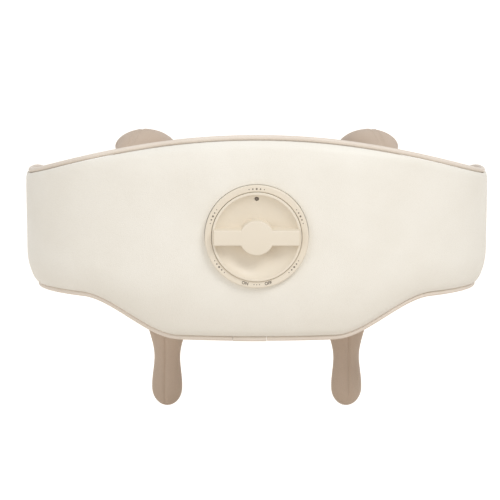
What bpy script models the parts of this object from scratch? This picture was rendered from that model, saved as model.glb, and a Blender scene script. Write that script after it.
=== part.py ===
"""Neck and shoulder massager: a curved, piped back cushion with a rotary dial,
two kneading discs on the wearer's side and two padded arms that hang over the shoulders.

Metres, +Z up, +X to the right as seen from behind the wearer. The dial looks along -Y and the
wearer stands on the +Y side. The origin lies under the tops of the arms, where the shoulders
carry the massager.
"""
import math

import bmesh
import bpy
from mathutils import Matrix, Vector

# Clearances
SEAT_GAP = 0.0003
RUN_GAP = 0.0005
CUT_OVERRUN = 0.004

# Back cushion in plan: half an ellipse whose crest line the outer face follows
HALF_WIDTH = 0.190
PLAN_DEPTH = 0.100
WING_SWEEP_DEG = 116.0

# Back cushion seen from behind: heights of its outline from the dial's axis
TOP_HEIGHT = 0.0789
TOP_DROP = 0.0365
BOTTOM_DEPTH = 0.0877
BOTTOM_RISE = 0.0317
RISE_START_X = 0.066
RISE_END_X = 0.145
TIP_ROUND_LENGTH = 0.036
TIP_EDGE_SHARE = 0.52

# Back cushion in section
BOTTOM_ROLL = 0.014
BOTTOM_ROLL_LENGTH = 0.055
WING_ROLL_SHARE = 0.50
TOP_ROLL = 0.0035
TOP_ROLL_LENGTH = 0.025
TIP_ROLL = 0.008
TIP_ROLL_LENGTH = 0.030
SEAM_ROLL = 0.0025
SEAM_ROLL_LENGTH = 0.006
ROLL_POWER = 2.2
COVER_THICKNESS = 0.007
COVER_EDGE_THICKNESS = 0.003
COVER_EDGE_LENGTH = 0.008
LINING_THICKNESS = 0.005
BODY_THICKNESS = 0.050
WING_THICKNESS = 0.028
THINNING_START_X = 0.130
THINNING_END_X = 0.172
LINING_TIP_LENGTH = 0.030
LINING_TIP_INSET = 0.0025
LINING_TIP_RISE = 0.0035
FOAM_START_X = 0.150
FOAM_EASE = 0.0015
LINING_POWER = 6.0

# Piping round the seam, with the tab over its joint at the bottom
PIPING_RADIUS = 0.0020
TAB_RADIUS = 0.0022
TAB_LEFT_X = -0.0200
TAB_RIGHT_X = 0.0082

# Dial: bezel cup, knob with its dish, grip bar and hub
BEZEL_RADIUS = 0.0408
BEZEL_INNER_RADIUS = 0.0357
BEZEL_PROUD = 0.0035
BEZEL_ROUND = 0.0010
BEZEL_BASE = 0.0069
BEZEL_FLOOR = 0.0022
KNOB_RADIUS = 0.0352
KNOB_RIM_HEIGHT = 0.0050
KNOB_RIM_WIDTH = 0.0018
KNOB_RIM_ROUND = 0.0006
KNOB_BACK = BEZEL_BASE - BEZEL_FLOOR - RUN_GAP
DISH_FLOOR = 0.0026
BAR_HEIGHT = 0.0110
BAR_HALF_LENGTH = 0.0334
BAR_TOP_HALF_WIDTH = 0.0060
BAR_BASE_HALF_WIDTH = 0.0074
BAR_EDGE_ROUND = 0.0009
HUB_RADIUS = 0.0136
HUB_DRAFT = 0.0006
HUB_PROUD = 0.0003
DOT_RADIUS = 0.0015
DOT_OFFSET = 0.0300
DOT_DEPTH = 0.0026
DOT_SINK = 0.0004
SHAFT_RADIUS = 0.0030
SHAFT_GRIP = 0.0070
SEAT_THICKNESS = 0.0040

# Rear shell and front frame, the hard case inside the cushion
CASE_WALL = 0.0024
CASE_EASE = 0.0012
CASE_HALF_X = 0.126
CASE_SPLIT = 0.0240
FRAME_FACE = 0.0425
CASE_TOP = 0.050
CASE_BOTTOM = 0.060
CASE_END_BOTTOM = 0.034
SHOULDER_START_X = 0.074
SHOULDER_END_X = 0.084
CASE_RISE_START_X = 0.088
CASE_RISE_END_X = 0.124
BOSS_RADIUS = 0.0040
BOSS_FUSE = 0.0010
CLAMP_INNER_RADIUS = 0.0070
CLAMP_OUTER_RADIUS = 0.0090

# Fasteners
SCREW_RADIUS = 0.0015
SCREW_HEAD_RADIUS = 0.0028
SCREW_HEAD_HEIGHT = 0.0016
CASE_SCREW_LENGTH = 0.0240
BRACKET_SCREW_LENGTH = 0.0080

# Control board, its switch and the battery
BOARD_HALF_X = 0.022
BOARD_LOW_Z = -0.017
BOARD_HIGH_Z = 0.026
BOARD_THICKNESS = 0.0016
BOARD_POST_INSET = 0.0035
BOARD_POST_RADIUS = 0.0025
SWITCH_SIZE = 0.0140
SWITCH_DEPTH = 0.0080
SWITCH_BUSH_RADIUS = 0.0045
SWITCH_BUSH_PROUD = 0.0004
NUT_RADIUS = 0.0068
NUT_THICKNESS = 0.0018
CHIP_SIZE = 0.0080
CHIP_HEIGHT = 0.0012
CHIP_OFFSET_X = 0.0120
CHIP_OFFSET_Z = 0.0130
CELL_RADIUS = 0.0092
CELL_LENGTH = 0.0650
CELL_FACE = 0.0300
CELL_TOP_Z = -0.0284
CELL_PITCH = 0.0189
HOLDER_WALL = 0.0024
HOLDER_DEPTH = 0.0120

# Charging socket at the bottom
PORT_FACE_DEPTH = 0.0300
PORT_WIDTH = 0.0220
PORT_THICKNESS = 0.0110
PORT_PROUD = 0.0006
SOCKET_WIDTH = 0.0090
SOCKET_HEIGHT = 0.0033
SOCKET_LENGTH = 0.0075
SOCKET_WALL = 0.0003
SOCKET_RECESS = 0.0005
TONGUE_WIDTH = 0.0064
TONGUE_THICKNESS = 0.0007
TONGUE_LENGTH = 0.0052

# Kneading modules, measured along their own axes from the crest line
MODULE_X = 0.0595
MODULE_OPENING_RADIUS = 0.045
RING_WALL = 0.0015
RING_LIP_WIDTH = 0.0038
RING_LIP_HEIGHT = 0.0017
RING_DEPTH = 0.0030
RING_SINK = 0.0012
DISC_RADIUS = 0.042
DISC_THICKNESS = 0.0028
DISC_FACE = 0.0495
HEAD_RADIUS = 0.016
HEAD_HEIGHT = 0.0165
HEAD_CIRCLE = 0.024
HEAD_STEM_RADIUS = 0.0040
OUTPUT_SHAFT_RADIUS = 0.0040
GEAR_MODULE = 0.0010
WHEEL_TEETH = 30
WHEEL_WIDTH = 0.0050
WHEEL_TOOTH_SHARE = 0.40
TOOTH_TIP_SHARE = 0.50
WHEEL_FACE = 0.0280
WORM_PITCH_RADIUS = 0.0050
WORM_ROOT_RADIUS = 0.0036
WORM_TIP_RADIUS = 0.0058
WORM_THREAD_ROOT_WIDTH = 0.0013
WORM_THREAD_TIP_WIDTH = 0.0006
WORM_TURNS = 3
WORM_STEPS_PER_TURN = 8
WORM_SHAFT_RADIUS = 0.0022
WORM_TOP = 0.0140
GEARBOX_BACK = 0.0200
GEARBOX_WALL = 0.0022
LID_THICKNESS = 0.0024
WORM_TUBE_RADIUS = 0.0085
WORM_TUBE_TOP = 0.0150
WORM_TUBE_BOTTOM = 0.0170
WORM_TUBE_END_WALL = 0.0025
BUSH_WALL = 0.0020
BUSH_FLANGE = 0.0020
BUSH_FLANGE_HEIGHT = 0.0012
MOTOR_RADIUS = 0.0120
MOTOR_LENGTH = 0.0300
MOTOR_BORE_DEPTH = 0.0080

# Arms: each bends in one upright plane that leans inwards towards the front
ARM_HINGE_X = 0.106
ARM_HINGE_Y = 0.047
ARM_HINGE_Z = 0.041
ARM_TOE_IN_DEG = 13.0
ARCH_CENTRE = 0.050
ARCH_HALF_SPAN = 0.079
ARCH_TOP_ABOVE_HINGE = 0.0196
ARM_WAIST_Z = -0.090
ARM_NECK_Z = -0.1325
ARM_GRIP_Z = -0.157
ARM_TIP_Z = -0.175
ARM_LEG_LEAN = 0.004
ARM_WIDEN_START = 0.030
ARM_WIDEN_END = 0.058
ARM_ROOT_WIDTH = 0.0305
ARM_ARCH_WIDTH = 0.048
ARM_WAIST_WIDTH = 0.042
ARM_NECK_WIDTH = 0.0235
ARM_GRIP_WIDTH = 0.0278
ARM_ROOT_THICKNESS = 0.0225
ARM_ARCH_THICKNESS = 0.0260
ARM_WAIST_THICKNESS = 0.0210
ARM_NECK_THICKNESS = 0.0160
ARM_GRIP_THICKNESS = 0.0190
ARM_TIP_ROUND = 0.016
ARM_ROLL_DEG = 5.0
ARM_SECTION_POWER = 2.4
BARREL_RADIUS = 0.0120
BARREL_LENGTH = 0.0320
KNUCKLE_RADIUS = 0.0080
SPINE_WIDTH = 0.0140
SPINE_THICKNESS = 0.0036
SPINE_SHARE = 0.74
PIN_RADIUS = 0.0025
PIN_HEAD_RADIUS = 0.0042
PIN_HEAD_HEIGHT = 0.0016
WASHER_RADIUS = 0.0070
WASHER_THICKNESS = 0.0010
EAR_THICKNESS = 0.0026
EAR_RADIUS = 0.0064
BRACKET_DROP = 0.0180
BRACKET_BASE = 0.0026
BRACKET_HALF_DEPTH = 0.0090
BRACKET_SCREW_X = 0.0090
BRACKET_SCREW_Y = 0.0035
ARM_LIFT_DEG = 30.0
ARM_DROP_DEG = 8.0
NOTCH_MARGIN = 0.0012
NOTCH_HALF_WIDTH = 0.0192
NOTCH_REACH = 0.060
NOTCH_MARGIN_DEG = 2.0

# Mesh density
COVER_COLUMNS = 30
PIPING_SIDES = 6
ROUND_STEPS = 16
SMALL_ROUND_STEPS = 10
BIG_ROUND_STEPS = 32
ARM_SIDES = 12

# Shares along an outline or a length, from 0 to 1
COVER_ROW_SHARES = (0.0, 0.03, 0.09, 0.19, 0.34, 0.60, 0.88, 0.965, 1.0)
LINING_ROW_SHARES = (0.0, 0.008, 0.045, 0.14, 0.50, 0.86, 0.955, 0.992, 1.0)
DISH_SHARES = ((0.88, 0.45), (0.66, 0.18), (0.36, 0.04))
DOME_SHARES = (0.0, 0.22, 0.45, 0.68, 0.88)
ARM_STATION_SHARES = (0.0, 0.05, 0.09, 0.13, 0.17, 0.24, 0.32, 0.40, 0.48, 0.60, 0.74, 0.79, 0.835, 0.88,
                      0.945)
TIP_SHARES = (0.2, 0.6, 0.86, 0.98)
CROWDING_SHARE = 0.55
FOAM_LOW_SHARE = 0.16
FOAM_HIGH_SHARE = 0.84
END_RIM_SHARE = 0.9
SCREW_SIDE_SHARE = 0.6
SCREW_TOP_SHARE = 0.7
TOOTH_ROOT_SHARE = 0.576
TOOTH_DEPTH_SHARE = 1.25
THREAD_SUNK_SHARE = 0.85
PILOT_START_SHARE = 0.25
PIPING_END_SHARES = (0.25, 0.5, 0.75)

# Columns and rows of the case
CASE_COLUMN_SHARES = (0.0, 0.2, 0.4, 0.585, 0.625, 0.668, 0.80, 0.92)
CASE_ROW_SHARES = (0.10, 0.24, 0.50)

# Case bosses and their screws: x and z as shares of the case's half width and height
CASE_BOSS_SHARES = ((0.22, 0.80), (0.85, -0.38))


def clear_scene():
    for leftover in list(bpy.data.objects):
        bpy.data.objects.remove(leftover, do_unlink=True)


def smooth_step(low, high, value):
    share = min(1.0, max(0.0, (value - low) / (high - low)))
    return share * share * (3.0 - 2.0 * share)


def mix(first, second, share):
    return first + (second - first) * share


def fade(distance, length, power):
    """1 at the edge, 0 one length away from it."""
    return max(0.0, 1.0 - distance / length) ** power


# Materials

def principled(name, colour, roughness, metallic=0.0):
    material = bpy.data.materials.new(name)
    material.use_nodes = True
    shader = material.node_tree.nodes["Principled BSDF"]
    shader.inputs["Base Color"].default_value = (*colour, 1.0)
    shader.inputs["Roughness"].default_value = roughness
    shader.inputs["Metallic"].default_value = metallic
    material.diffuse_color = (*colour, 1.0)
    return material


def make_materials():
    return {
        "cover": principled("cream_leather", (0.88, 0.84, 0.74), 0.55),
        "lining": principled("taupe_leather", (0.53, 0.41, 0.32), 0.60),
        "piping": principled("piping_leather", (0.83, 0.76, 0.68), 0.50),
        "dial": principled("cream_plastic", (0.86, 0.80, 0.69), 0.38),
        "mark": principled("dark_print", (0.16, 0.13, 0.10), 0.50),
        "case": principled("inner_plastic", (0.62, 0.60, 0.56), 0.50),
        "gearbox": principled("gearbox_plastic", (0.30, 0.30, 0.31), 0.50),
        "gear": principled("acetal", (0.90, 0.89, 0.86), 0.40),
        "steel": principled("steel", (0.62, 0.62, 0.63), 0.30, 1.0),
        "brass": principled("brass", (0.72, 0.55, 0.25), 0.32, 1.0),
        "silicone": principled("silicone", (0.56, 0.45, 0.37), 0.45),
        "carrier": principled("carrier_plastic", (0.46, 0.37, 0.30), 0.45),
        "board": principled("circuit_board", (0.05, 0.22, 0.11), 0.50),
        "cell": principled("cell_wrap", (0.12, 0.24, 0.45), 0.40),
        "foam": principled("foam", (0.80, 0.78, 0.72), 0.90),
    }


# Turns an outline in X and Y into one in Y and Z, extruded along X
SIDEWAYS = Matrix(((0.0, 0.0, 1.0, 0.0), (1.0, 0.0, 0.0, 0.0), (0.0, 1.0, 0.0, 0.0), (0.0, 0.0, 0.0, 1.0)))


# Objects

def new_empty(name, parent, location=(0.0, 0.0, 0.0), rotation=None):
    empty = bpy.data.objects.new(name, None)
    bpy.context.scene.collection.objects.link(empty)
    empty.parent = parent
    empty.location = location
    if rotation is not None:
        empty.rotation_euler = rotation.to_euler()
    return empty


def new_object(name, bm, material, parent, smooth_deg=None):
    bmesh.ops.recalc_face_normals(bm, faces=bm.faces)
    mesh = bpy.data.meshes.new(name)
    bm.to_mesh(mesh)
    bm.free()
    if smooth_deg is not None:
        mesh.shade_smooth()
        mesh.set_sharp_from_angle(angle=math.radians(smooth_deg))
    if material is not None:
        mesh.materials.append(material)
    item = bpy.data.objects.new(name, mesh)
    bpy.context.scene.collection.objects.link(item)
    item.parent = parent
    return item


def new_tool(name, bm, parent):
    """A solid that only cuts or adds to another one."""
    tool = new_object(name, bm, None, parent)
    tool.hide_render = True
    tool.display_type = "WIRE"
    return tool


def combine(target, tool, operation):
    modifier = target.modifiers.new(tool.name, "BOOLEAN")
    modifier.operation = operation
    modifier.object = tool
    modifier.solver = "EXACT"


def cut(target, bm, parent):
    combine(target, new_tool(target.name + "_cut", bm, parent), "DIFFERENCE")


def unite(target, bm, parent):
    combine(target, new_tool(target.name + "_add", bm, parent), "UNION")


# Solids

def add_box(bm, low, high):
    corners = [bm.verts.new((x, y, z)) for x in (low[0], high[0]) for y in (low[1], high[1])
               for z in (low[2], high[2])]
    for a, b, c, d in ((0, 1, 3, 2), (4, 6, 7, 5), (0, 4, 5, 1), (2, 3, 7, 6), (0, 2, 6, 4), (1, 5, 7, 3)):
        bm.faces.new((corners[a], corners[b], corners[c], corners[d]))


def box(low, high):
    bm = bmesh.new()
    add_box(bm, low, high)
    return bm


def add_lathe(bm, profile, steps, closed=False, matrix=None):
    """Turns (radius, height) points round Z. A radius of zero is a pole."""
    rings = []
    for radius, height in profile:
        if radius == 0.0:
            rings.append([bm.verts.new((0.0, 0.0, height))])
        else:
            rings.append([bm.verts.new((radius * math.cos(angle), radius * math.sin(angle), height))
                          for angle in (math.tau * step / steps for step in range(steps))])
    pairs = list(zip(rings, rings[1:]))
    if closed:
        pairs.append((rings[-1], rings[0]))
    for first, second in pairs:
        for step in range(steps):
            after = (step + 1) % steps
            if len(first) == 1:
                bm.faces.new((first[0], second[after], second[step]))
            elif len(second) == 1:
                bm.faces.new((first[step], first[after], second[0]))
            else:
                bm.faces.new((first[step], first[after], second[after], second[step]))
    if matrix is not None:
        moved = [vert for ring in rings for vert in ring]
        bmesh.ops.transform(bm, matrix=matrix, verts=moved)


def lathe(profile, steps, closed=False, matrix=None):
    bm = bmesh.new()
    add_lathe(bm, profile, steps, closed, matrix)
    return bm


def rod_profile(radius, low, high):
    return ((0.0, low), (radius, low), (radius, high), (0.0, high))


def rod(radius, low, high, steps, matrix=None):
    return lathe(rod_profile(radius, low, high), steps, matrix=matrix)


def ring_profile(inner, outer, low, high):
    return ((inner, low), (outer, low), (outer, high), (inner, high))


def add_prism(bm, outline, low, high, matrix=None):
    """A flat outline in X and Y, extruded along Z."""
    bottom = [bm.verts.new((x, y, low)) for x, y in outline]
    top = [bm.verts.new((x, y, high)) for x, y in outline]
    bm.faces.new(bottom)
    bm.faces.new(tuple(reversed(top)))
    count = len(outline)
    for index in range(count):
        after = (index + 1) % count
        bm.faces.new((bottom[index], bottom[after], top[after], top[index]))
    if matrix is not None:
        bmesh.ops.transform(bm, matrix=matrix, verts=bottom + top)


def prism(outline, low, high, matrix=None):
    bm = bmesh.new()
    add_prism(bm, outline, low, high, matrix)
    return bm


def sweep(rings, closed=False):
    bm = bmesh.new()
    loops = [[bm.verts.new(point) for point in ring] for ring in rings]
    pairs = list(zip(loops, loops[1:]))
    if closed:
        pairs.append((loops[-1], loops[0]))
    count = len(loops[0])
    for first, second in pairs:
        for index in range(count):
            after = (index + 1) % count
            bm.faces.new((first[index], first[after], second[after], second[index]))
    if not closed:
        bm.faces.new(loops[0])
        bm.faces.new(tuple(reversed(loops[-1])))
    return bm


def closed_sheet(outer, inner):
    """A solid between two grids of points with the same rows and columns."""
    bm = bmesh.new()
    skins = [[[bm.verts.new(point) for point in column] for column in grid] for grid in (outer, inner)]
    columns, rows = len(outer), len(outer[0])
    for skin in skins:
        for i in range(columns - 1):
            for j in range(rows - 1):
                bm.faces.new((skin[i][j], skin[i + 1][j], skin[i + 1][j + 1], skin[i][j + 1]))
    border = [(i, 0) for i in range(columns)] + [(columns - 1, j) for j in range(1, rows)]
    border += [(i, rows - 1) for i in range(columns - 2, -1, -1)] + [(0, j) for j in range(rows - 2, 0, -1)]
    for (i, j), (k, m) in zip(border, border[1:] + border[:1]):
        bm.faces.new((skins[0][i][j], skins[0][k][m], skins[1][k][m], skins[1][i][j]))
    return bm


# Back cushion: a plan angle and a height give a place on it

def crest_x(angle):
    return HALF_WIDTH * math.sin(angle)


def crest(angle):
    """Point on the crest line and the inward normal there."""
    slope = Vector((HALF_WIDTH * math.cos(angle), PLAN_DEPTH * math.sin(angle), 0.0)).normalized()
    point = Vector((crest_x(angle), PLAN_DEPTH * (1.0 - math.cos(angle)), 0.0))
    return point, Vector((-slope.y, slope.x, 0.0))


def at(angle, depth, height):
    point, inward = crest(angle)
    place = point + inward * depth
    place.z = height
    return place


def crest_speed(angle):
    """Length of crest line for each radian of plan angle."""
    return math.hypot(HALF_WIDTH * math.cos(angle), PLAN_DEPTH * math.sin(angle))


def angle_at_x(x):
    return math.asin(x / HALF_WIDTH)


WING_SWEEP = math.radians(WING_SWEEP_DEG)
WING_STEPS = 400


def arc_table():
    """Crest length from the middle to each of many equal steps of plan angle."""
    lengths = [0.0]
    step = WING_SWEEP / WING_STEPS
    for index in range(WING_STEPS):
        lengths.append(lengths[-1] + crest_speed((index + 0.5) * step) * step)
    return lengths


ARC_LENGTHS = arc_table()
HALF_LENGTH = ARC_LENGTHS[-1]


def length_at(angle):
    place = min(WING_STEPS, abs(angle) / WING_SWEEP * WING_STEPS)
    index = min(WING_STEPS - 1, int(place))
    return mix(ARC_LENGTHS[index], ARC_LENGTHS[index + 1], place - index)


def angle_at_length(length):
    low, high = 0.0, WING_SWEEP
    for _ in range(40):
        middle = (low + high) / 2.0
        if length_at(middle) < length:
            low = middle
        else:
            high = middle
    return (low + high) / 2.0


def reach_x(angle):
    """Sideways reach of the crest line, which stays at its widest past the silhouette."""
    return HALF_WIDTH * math.sin(min(abs(angle), math.pi / 2.0))


def tip_share(angle):
    """1 along the cushion, falling along a quarter round to the share kept at the tip's edge."""
    to_tip = HALF_LENGTH - length_at(angle)
    if to_tip >= TIP_ROUND_LENGTH:
        return 1.0
    along = 1.0 - to_tip / TIP_ROUND_LENGTH
    return mix(TIP_EDGE_SHARE, 1.0, math.sqrt(max(0.0, 1.0 - along * along)))


def outline(angle):
    """Lowest and highest height of the seam, inside the piping."""
    x = reach_x(angle)
    high = TOP_HEIGHT - TOP_DROP * (x / HALF_WIDTH) ** 2
    low = -BOTTOM_DEPTH + BOTTOM_RISE * smooth_step(RISE_START_X, RISE_END_X, x)
    margin = 2.0 * PIPING_RADIUS + SEAT_GAP
    high -= margin
    low += margin
    middle = (low + high) / 2.0
    share = tip_share(angle)
    return mix(middle, low, share), mix(middle, high, share)


def crown(angle, height):
    """How far the leather lies inside the crest line."""
    low, high = outline(angle)
    x = reach_x(angle)
    wing = smooth_step(RISE_START_X, RISE_END_X, x)
    from_low, from_high = height - low, high - height
    from_tip = HALF_LENGTH - length_at(angle)
    size = mix(1.0, WING_ROLL_SHARE, wing)
    bottom = BOTTOM_ROLL * size * fade(from_low, BOTTOM_ROLL_LENGTH * size, ROLL_POWER)
    top = TOP_ROLL * fade(from_high, TOP_ROLL_LENGTH, ROLL_POWER)
    tip = TIP_ROLL * fade(from_tip, TIP_ROLL_LENGTH, ROLL_POWER)
    to_seam = min(from_low, from_high, from_tip)
    return math.hypot(bottom, top, tip) + SEAM_ROLL * fade(to_seam, SEAM_ROLL_LENGTH, ROLL_POWER)


def cover_back(angle, height):
    """Depth of the padded cover's inner face."""
    low, high = outline(angle)
    to_seam = min(height - low, high - height, HALF_LENGTH - length_at(angle))
    share = fade(to_seam, COVER_EDGE_LENGTH, 1.0)
    return crown(angle, height) + mix(COVER_THICKNESS, COVER_EDGE_THICKNESS, share)


def cushion_angles(columns):
    """Plan angles of even columns that crowd towards both tips."""
    half = columns // 2
    lengths = []
    for index in range(half + 1):
        share = index / half
        lengths.append(HALF_LENGTH * mix(share, math.sin(share * math.pi / 2.0), CROWDING_SHARE))
    right = [angle_at_length(length) for length in lengths]
    return [-angle for angle in reversed(right[1:])] + right


def cushion_grid(columns, row_shares, depth_at):
    grid = []
    for angle in cushion_angles(columns):
        low, high = outline(angle)
        heights = [mix(low, high, share) for share in row_shares]
        grid.append([at(angle, depth_at(angle, height), height) for height in heights])
    return grid


def lining_depth(angle, share, height, inset):
    """Depth of the lining, inset by a thickness, at a share of the height between the seams."""
    start = cover_back(angle, height) + RUN_GAP
    thinning = smooth_step(THINNING_START_X, THINNING_END_X, reach_x(angle))
    full = mix(BODY_THICKNESS, WING_THICKNESS, thinning) - inset
    upright = (1.0 - abs(2.0 * share - 1.0) ** LINING_POWER) ** (1.0 / LINING_POWER)
    from_tip = min(1.0, (HALF_LENGTH - length_at(angle)) / LINING_TIP_LENGTH)
    sideways = (1.0 - (1.0 - from_tip) ** 2.0) ** 0.5
    rise = max(0.0, full - start) * sideways
    if inset == 0.0:
        rise = max(rise, LINING_TIP_RISE)
    return start + rise * upright


def lining_grid(columns, inset):
    grid = []
    for angle in cushion_angles(columns):
        low, high = outline(angle)
        middle = (low + high) / 2.0
        scale = 1.0 - 2.0 * inset / (high - low)
        to_tip = HALF_LENGTH - length_at(angle)
        shifted = angle
        if inset > 0.0 and to_tip < LINING_TIP_INSET:
            shifted = math.copysign(angle_at_length(HALF_LENGTH - LINING_TIP_INSET), angle)
        column = []
        for share in LINING_ROW_SHARES:
            height = mix(low, high, share)
            depth = lining_depth(angle, share, height, inset)
            column.append(at(shifted, depth, middle + (height - middle) * scale))
        grid.append(column)
    return grid


# Soft parts of the back cushion

def make_outer_cover(frame, materials):
    outer = cushion_grid(COVER_COLUMNS, COVER_ROW_SHARES, crown)
    inner = cushion_grid(COVER_COLUMNS, COVER_ROW_SHARES, cover_back)
    cover = new_object("outer_cover", closed_sheet(outer, inner), materials["cover"], frame, 40.0)
    facing = Matrix.Rotation(-math.pi / 2.0, 4, "X")
    hole = rod(BEZEL_RADIUS + SEAT_GAP, -BODY_THICKNESS, BODY_THICKNESS, BIG_ROUND_STEPS, facing)
    cut(cover, hole, frame)


def make_inner_lining(frame, modules, hinges, materials):
    body = closed_sheet(lining_grid(COVER_COLUMNS, 0.0), lining_grid(COVER_COLUMNS, LINING_THICKNESS))
    lining = new_object("inner_lining", body, materials["lining"], frame, 40.0)
    for module in modules:
        opening = rod(MODULE_OPENING_RADIUS, CASE_SPLIT, BODY_THICKNESS + HEAD_HEIGHT, BIG_ROUND_STEPS)
        cut(lining, opening, module)
        seat_radius = MODULE_OPENING_RADIUS + RING_LIP_WIDTH + RUN_GAP
        seat_low = BODY_THICKNESS - RING_SINK
        cut(lining, rod(seat_radius, seat_low, BODY_THICKNESS + HEAD_HEIGHT, BIG_ROUND_STEPS), module)
    for hinge in hinges:
        cut(lining, arm_notch(), hinge)
    half_width = PORT_WIDTH / 2.0 + SEAT_GAP
    half_thickness = PORT_THICKNESS / 2.0 + SEAT_GAP
    low = (-half_width, PORT_FACE_DEPTH - half_thickness, -BOTTOM_DEPTH - CUT_OVERRUN)
    high = (half_width, PORT_FACE_DEPTH + half_thickness, -CASE_BOTTOM)
    cut(lining, box(low, high), frame)


def arm_notch():
    """The space that the arm's root sweeps, rounded behind the hinge and open to the front."""
    lowest = arm_start_angle() - math.radians(ARM_DROP_DEG + NOTCH_MARGIN_DEG)
    highest = arm_start_angle() + math.radians(ARM_LIFT_DEG + NOTCH_MARGIN_DEG)
    radius = BARREL_RADIUS + NOTCH_MARGIN
    steps = 8
    first, last = highest + math.pi / 2.0, lowest + math.tau - math.pi / 2.0
    angles = [mix(first, last, step / steps) for step in range(steps + 1)]
    points = [Vector((math.cos(angle), math.sin(angle))) * radius for angle in angles]
    low_way = Vector((math.cos(lowest), math.sin(lowest))) * NOTCH_REACH
    high_way = Vector((math.cos(highest), math.sin(highest))) * NOTCH_REACH
    points += [points[-1] + low_way, points[0] + high_way]
    return prism([tuple(point) for point in points], -NOTCH_HALF_WIDTH, NOTCH_HALF_WIDTH, SIDEWAYS)


def seam_loop():
    """Places round the seam as (crest length, height), from the tab's right edge round to its left."""
    angles = cushion_angles(COVER_COLUMNS)
    lows = [(math.copysign(length_at(angle), angle), outline(angle)[0]) for angle in angles]
    highs = [(math.copysign(length_at(angle), angle), outline(angle)[1]) for angle in angles]
    right_start = length_at(angle_at_x(TAB_RIGHT_X + SEAT_GAP))
    left_end = -length_at(angle_at_x(-TAB_LEFT_X + SEAT_GAP))
    bottom = outline(0.0)[0]
    right_end = [(HALF_LENGTH, mix(lows[-1][1], highs[-1][1], share)) for share in PIPING_END_SHARES]
    left_side = [(-HALF_LENGTH, mix(highs[0][1], lows[0][1], share)) for share in PIPING_END_SHARES]
    loop = [(right_start, bottom)] + [place for place in lows if place[0] > right_start + PIPING_RADIUS]
    loop += right_end + list(reversed(highs)) + left_side
    loop += [place for place in lows if place[0] < left_end - PIPING_RADIUS] + [(left_end, bottom)]
    return loop


def seam_point(length, height, outward, standoff):
    """A point that stands off from the seam in the cushion's own face."""
    moved = length + outward[0] * standoff
    over = max(0.0, abs(moved) - HALF_LENGTH)
    angle = math.copysign(angle_at_length(min(HALF_LENGTH, abs(moved))), moved)
    depth = crown(angle, height) + COVER_EDGE_THICKNESS + SEAT_GAP / 2.0
    place = at(angle, depth, height + outward[1] * standoff)
    point, inward = crest(angle)
    along = Vector((inward.y, -inward.x, 0.0))
    return place + along * math.copysign(over, moved)


def seam_centres(loop, closed_ends):
    standoff = PIPING_RADIUS + SEAT_GAP
    centres = []
    for index, (length, height) in enumerate(loop):
        before = loop[max(0, index - 1)]
        after = loop[min(len(loop) - 1, index + 1)]
        way = Vector((after[0] - before[0], after[1] - before[1])).normalized()
        outward = (way.y, -way.x)
        if closed_ends and index in (0, len(loop) - 1):
            outward = (0.0, -1.0)
        centres.append(seam_point(length, height, outward, standoff))
    return centres


def tube_rings(centres, radius, sides):
    rings = []
    side_way = Vector((0.0, 1.0, 0.0))
    for index, centre in enumerate(centres):
        before = centres[max(0, index - 1)]
        after = centres[min(len(centres) - 1, index + 1)]
        way = (after - before).normalized()
        side_way = (side_way - way * side_way.dot(way)).normalized()
        other_way = way.cross(side_way)
        ring = []
        for step in range(sides):
            angle = math.tau * (step + 0.5) / sides
            ring.append(centre + (side_way * math.cos(angle) + other_way * math.sin(angle)) * radius)
        rings.append(ring)
    return rings


def make_piping(frame, materials):
    centres = seam_centres(seam_loop(), True)
    tube = sweep(tube_rings(centres, PIPING_RADIUS, PIPING_SIDES))
    new_object("edge_piping", tube, materials["piping"], frame, 50.0)
    bottom = outline(0.0)[0]
    steps = 6
    xs = [mix(TAB_LEFT_X, TAB_RIGHT_X, step / steps) for step in range(steps + 1)]
    height = bottom - (TAB_RADIUS - PIPING_RADIUS)
    lengths = [math.copysign(length_at(angle_at_x(abs(x))), x) for x in xs]
    standoff = PIPING_RADIUS + SEAT_GAP
    tab_centres = [seam_point(length, height, (0.0, -1.0), standoff) for length in lengths]
    tab = sweep(tube_rings(tab_centres, TAB_RADIUS, PIPING_SIDES + 2))
    new_object("piping_tab", tab, materials["piping"], frame, 50.0)


def make_wing_foam(frame, side, name, materials):
    """Foam between cover and lining, from the case's end to the wing's tip."""
    start = angle_at_x(FOAM_START_X)
    end = angle_at_length(HALF_LENGTH - LINING_TIP_LENGTH / 2.0)
    outer, inner = [], []
    steps = 7
    rows = 4
    for column in range(steps + 1):
        angle = mix(start, end, column / steps)
        low, high = outline(angle)
        inset = LINING_THICKNESS
        back, front = [], []
        for row in range(rows + 1):
            share = mix(FOAM_LOW_SHARE, FOAM_HIGH_SHARE, row / rows)
            height = mix(low, high, share)
            back.append(at(side * angle, cover_back(angle, height) + CASE_EASE, height))
            front.append(at(side * angle, lining_depth(angle, share, height, inset) - FOAM_EASE, height))
        outer.append(back)
        inner.append(front)
    new_object(name, closed_sheet(outer, inner), materials["foam"], frame, 40.0)


# Hard case inside the cushion

def case_low(x):
    return mix(-CASE_BOTTOM, -CASE_END_BOTTOM, smooth_step(CASE_RISE_START_X, CASE_RISE_END_X, x))


def case_high(x):
    shoulder = ARM_HINGE_Z - BRACKET_DROP - SEAT_GAP
    return mix(CASE_TOP, shoulder, smooth_step(SHOULDER_START_X, SHOULDER_END_X, x))


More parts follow.
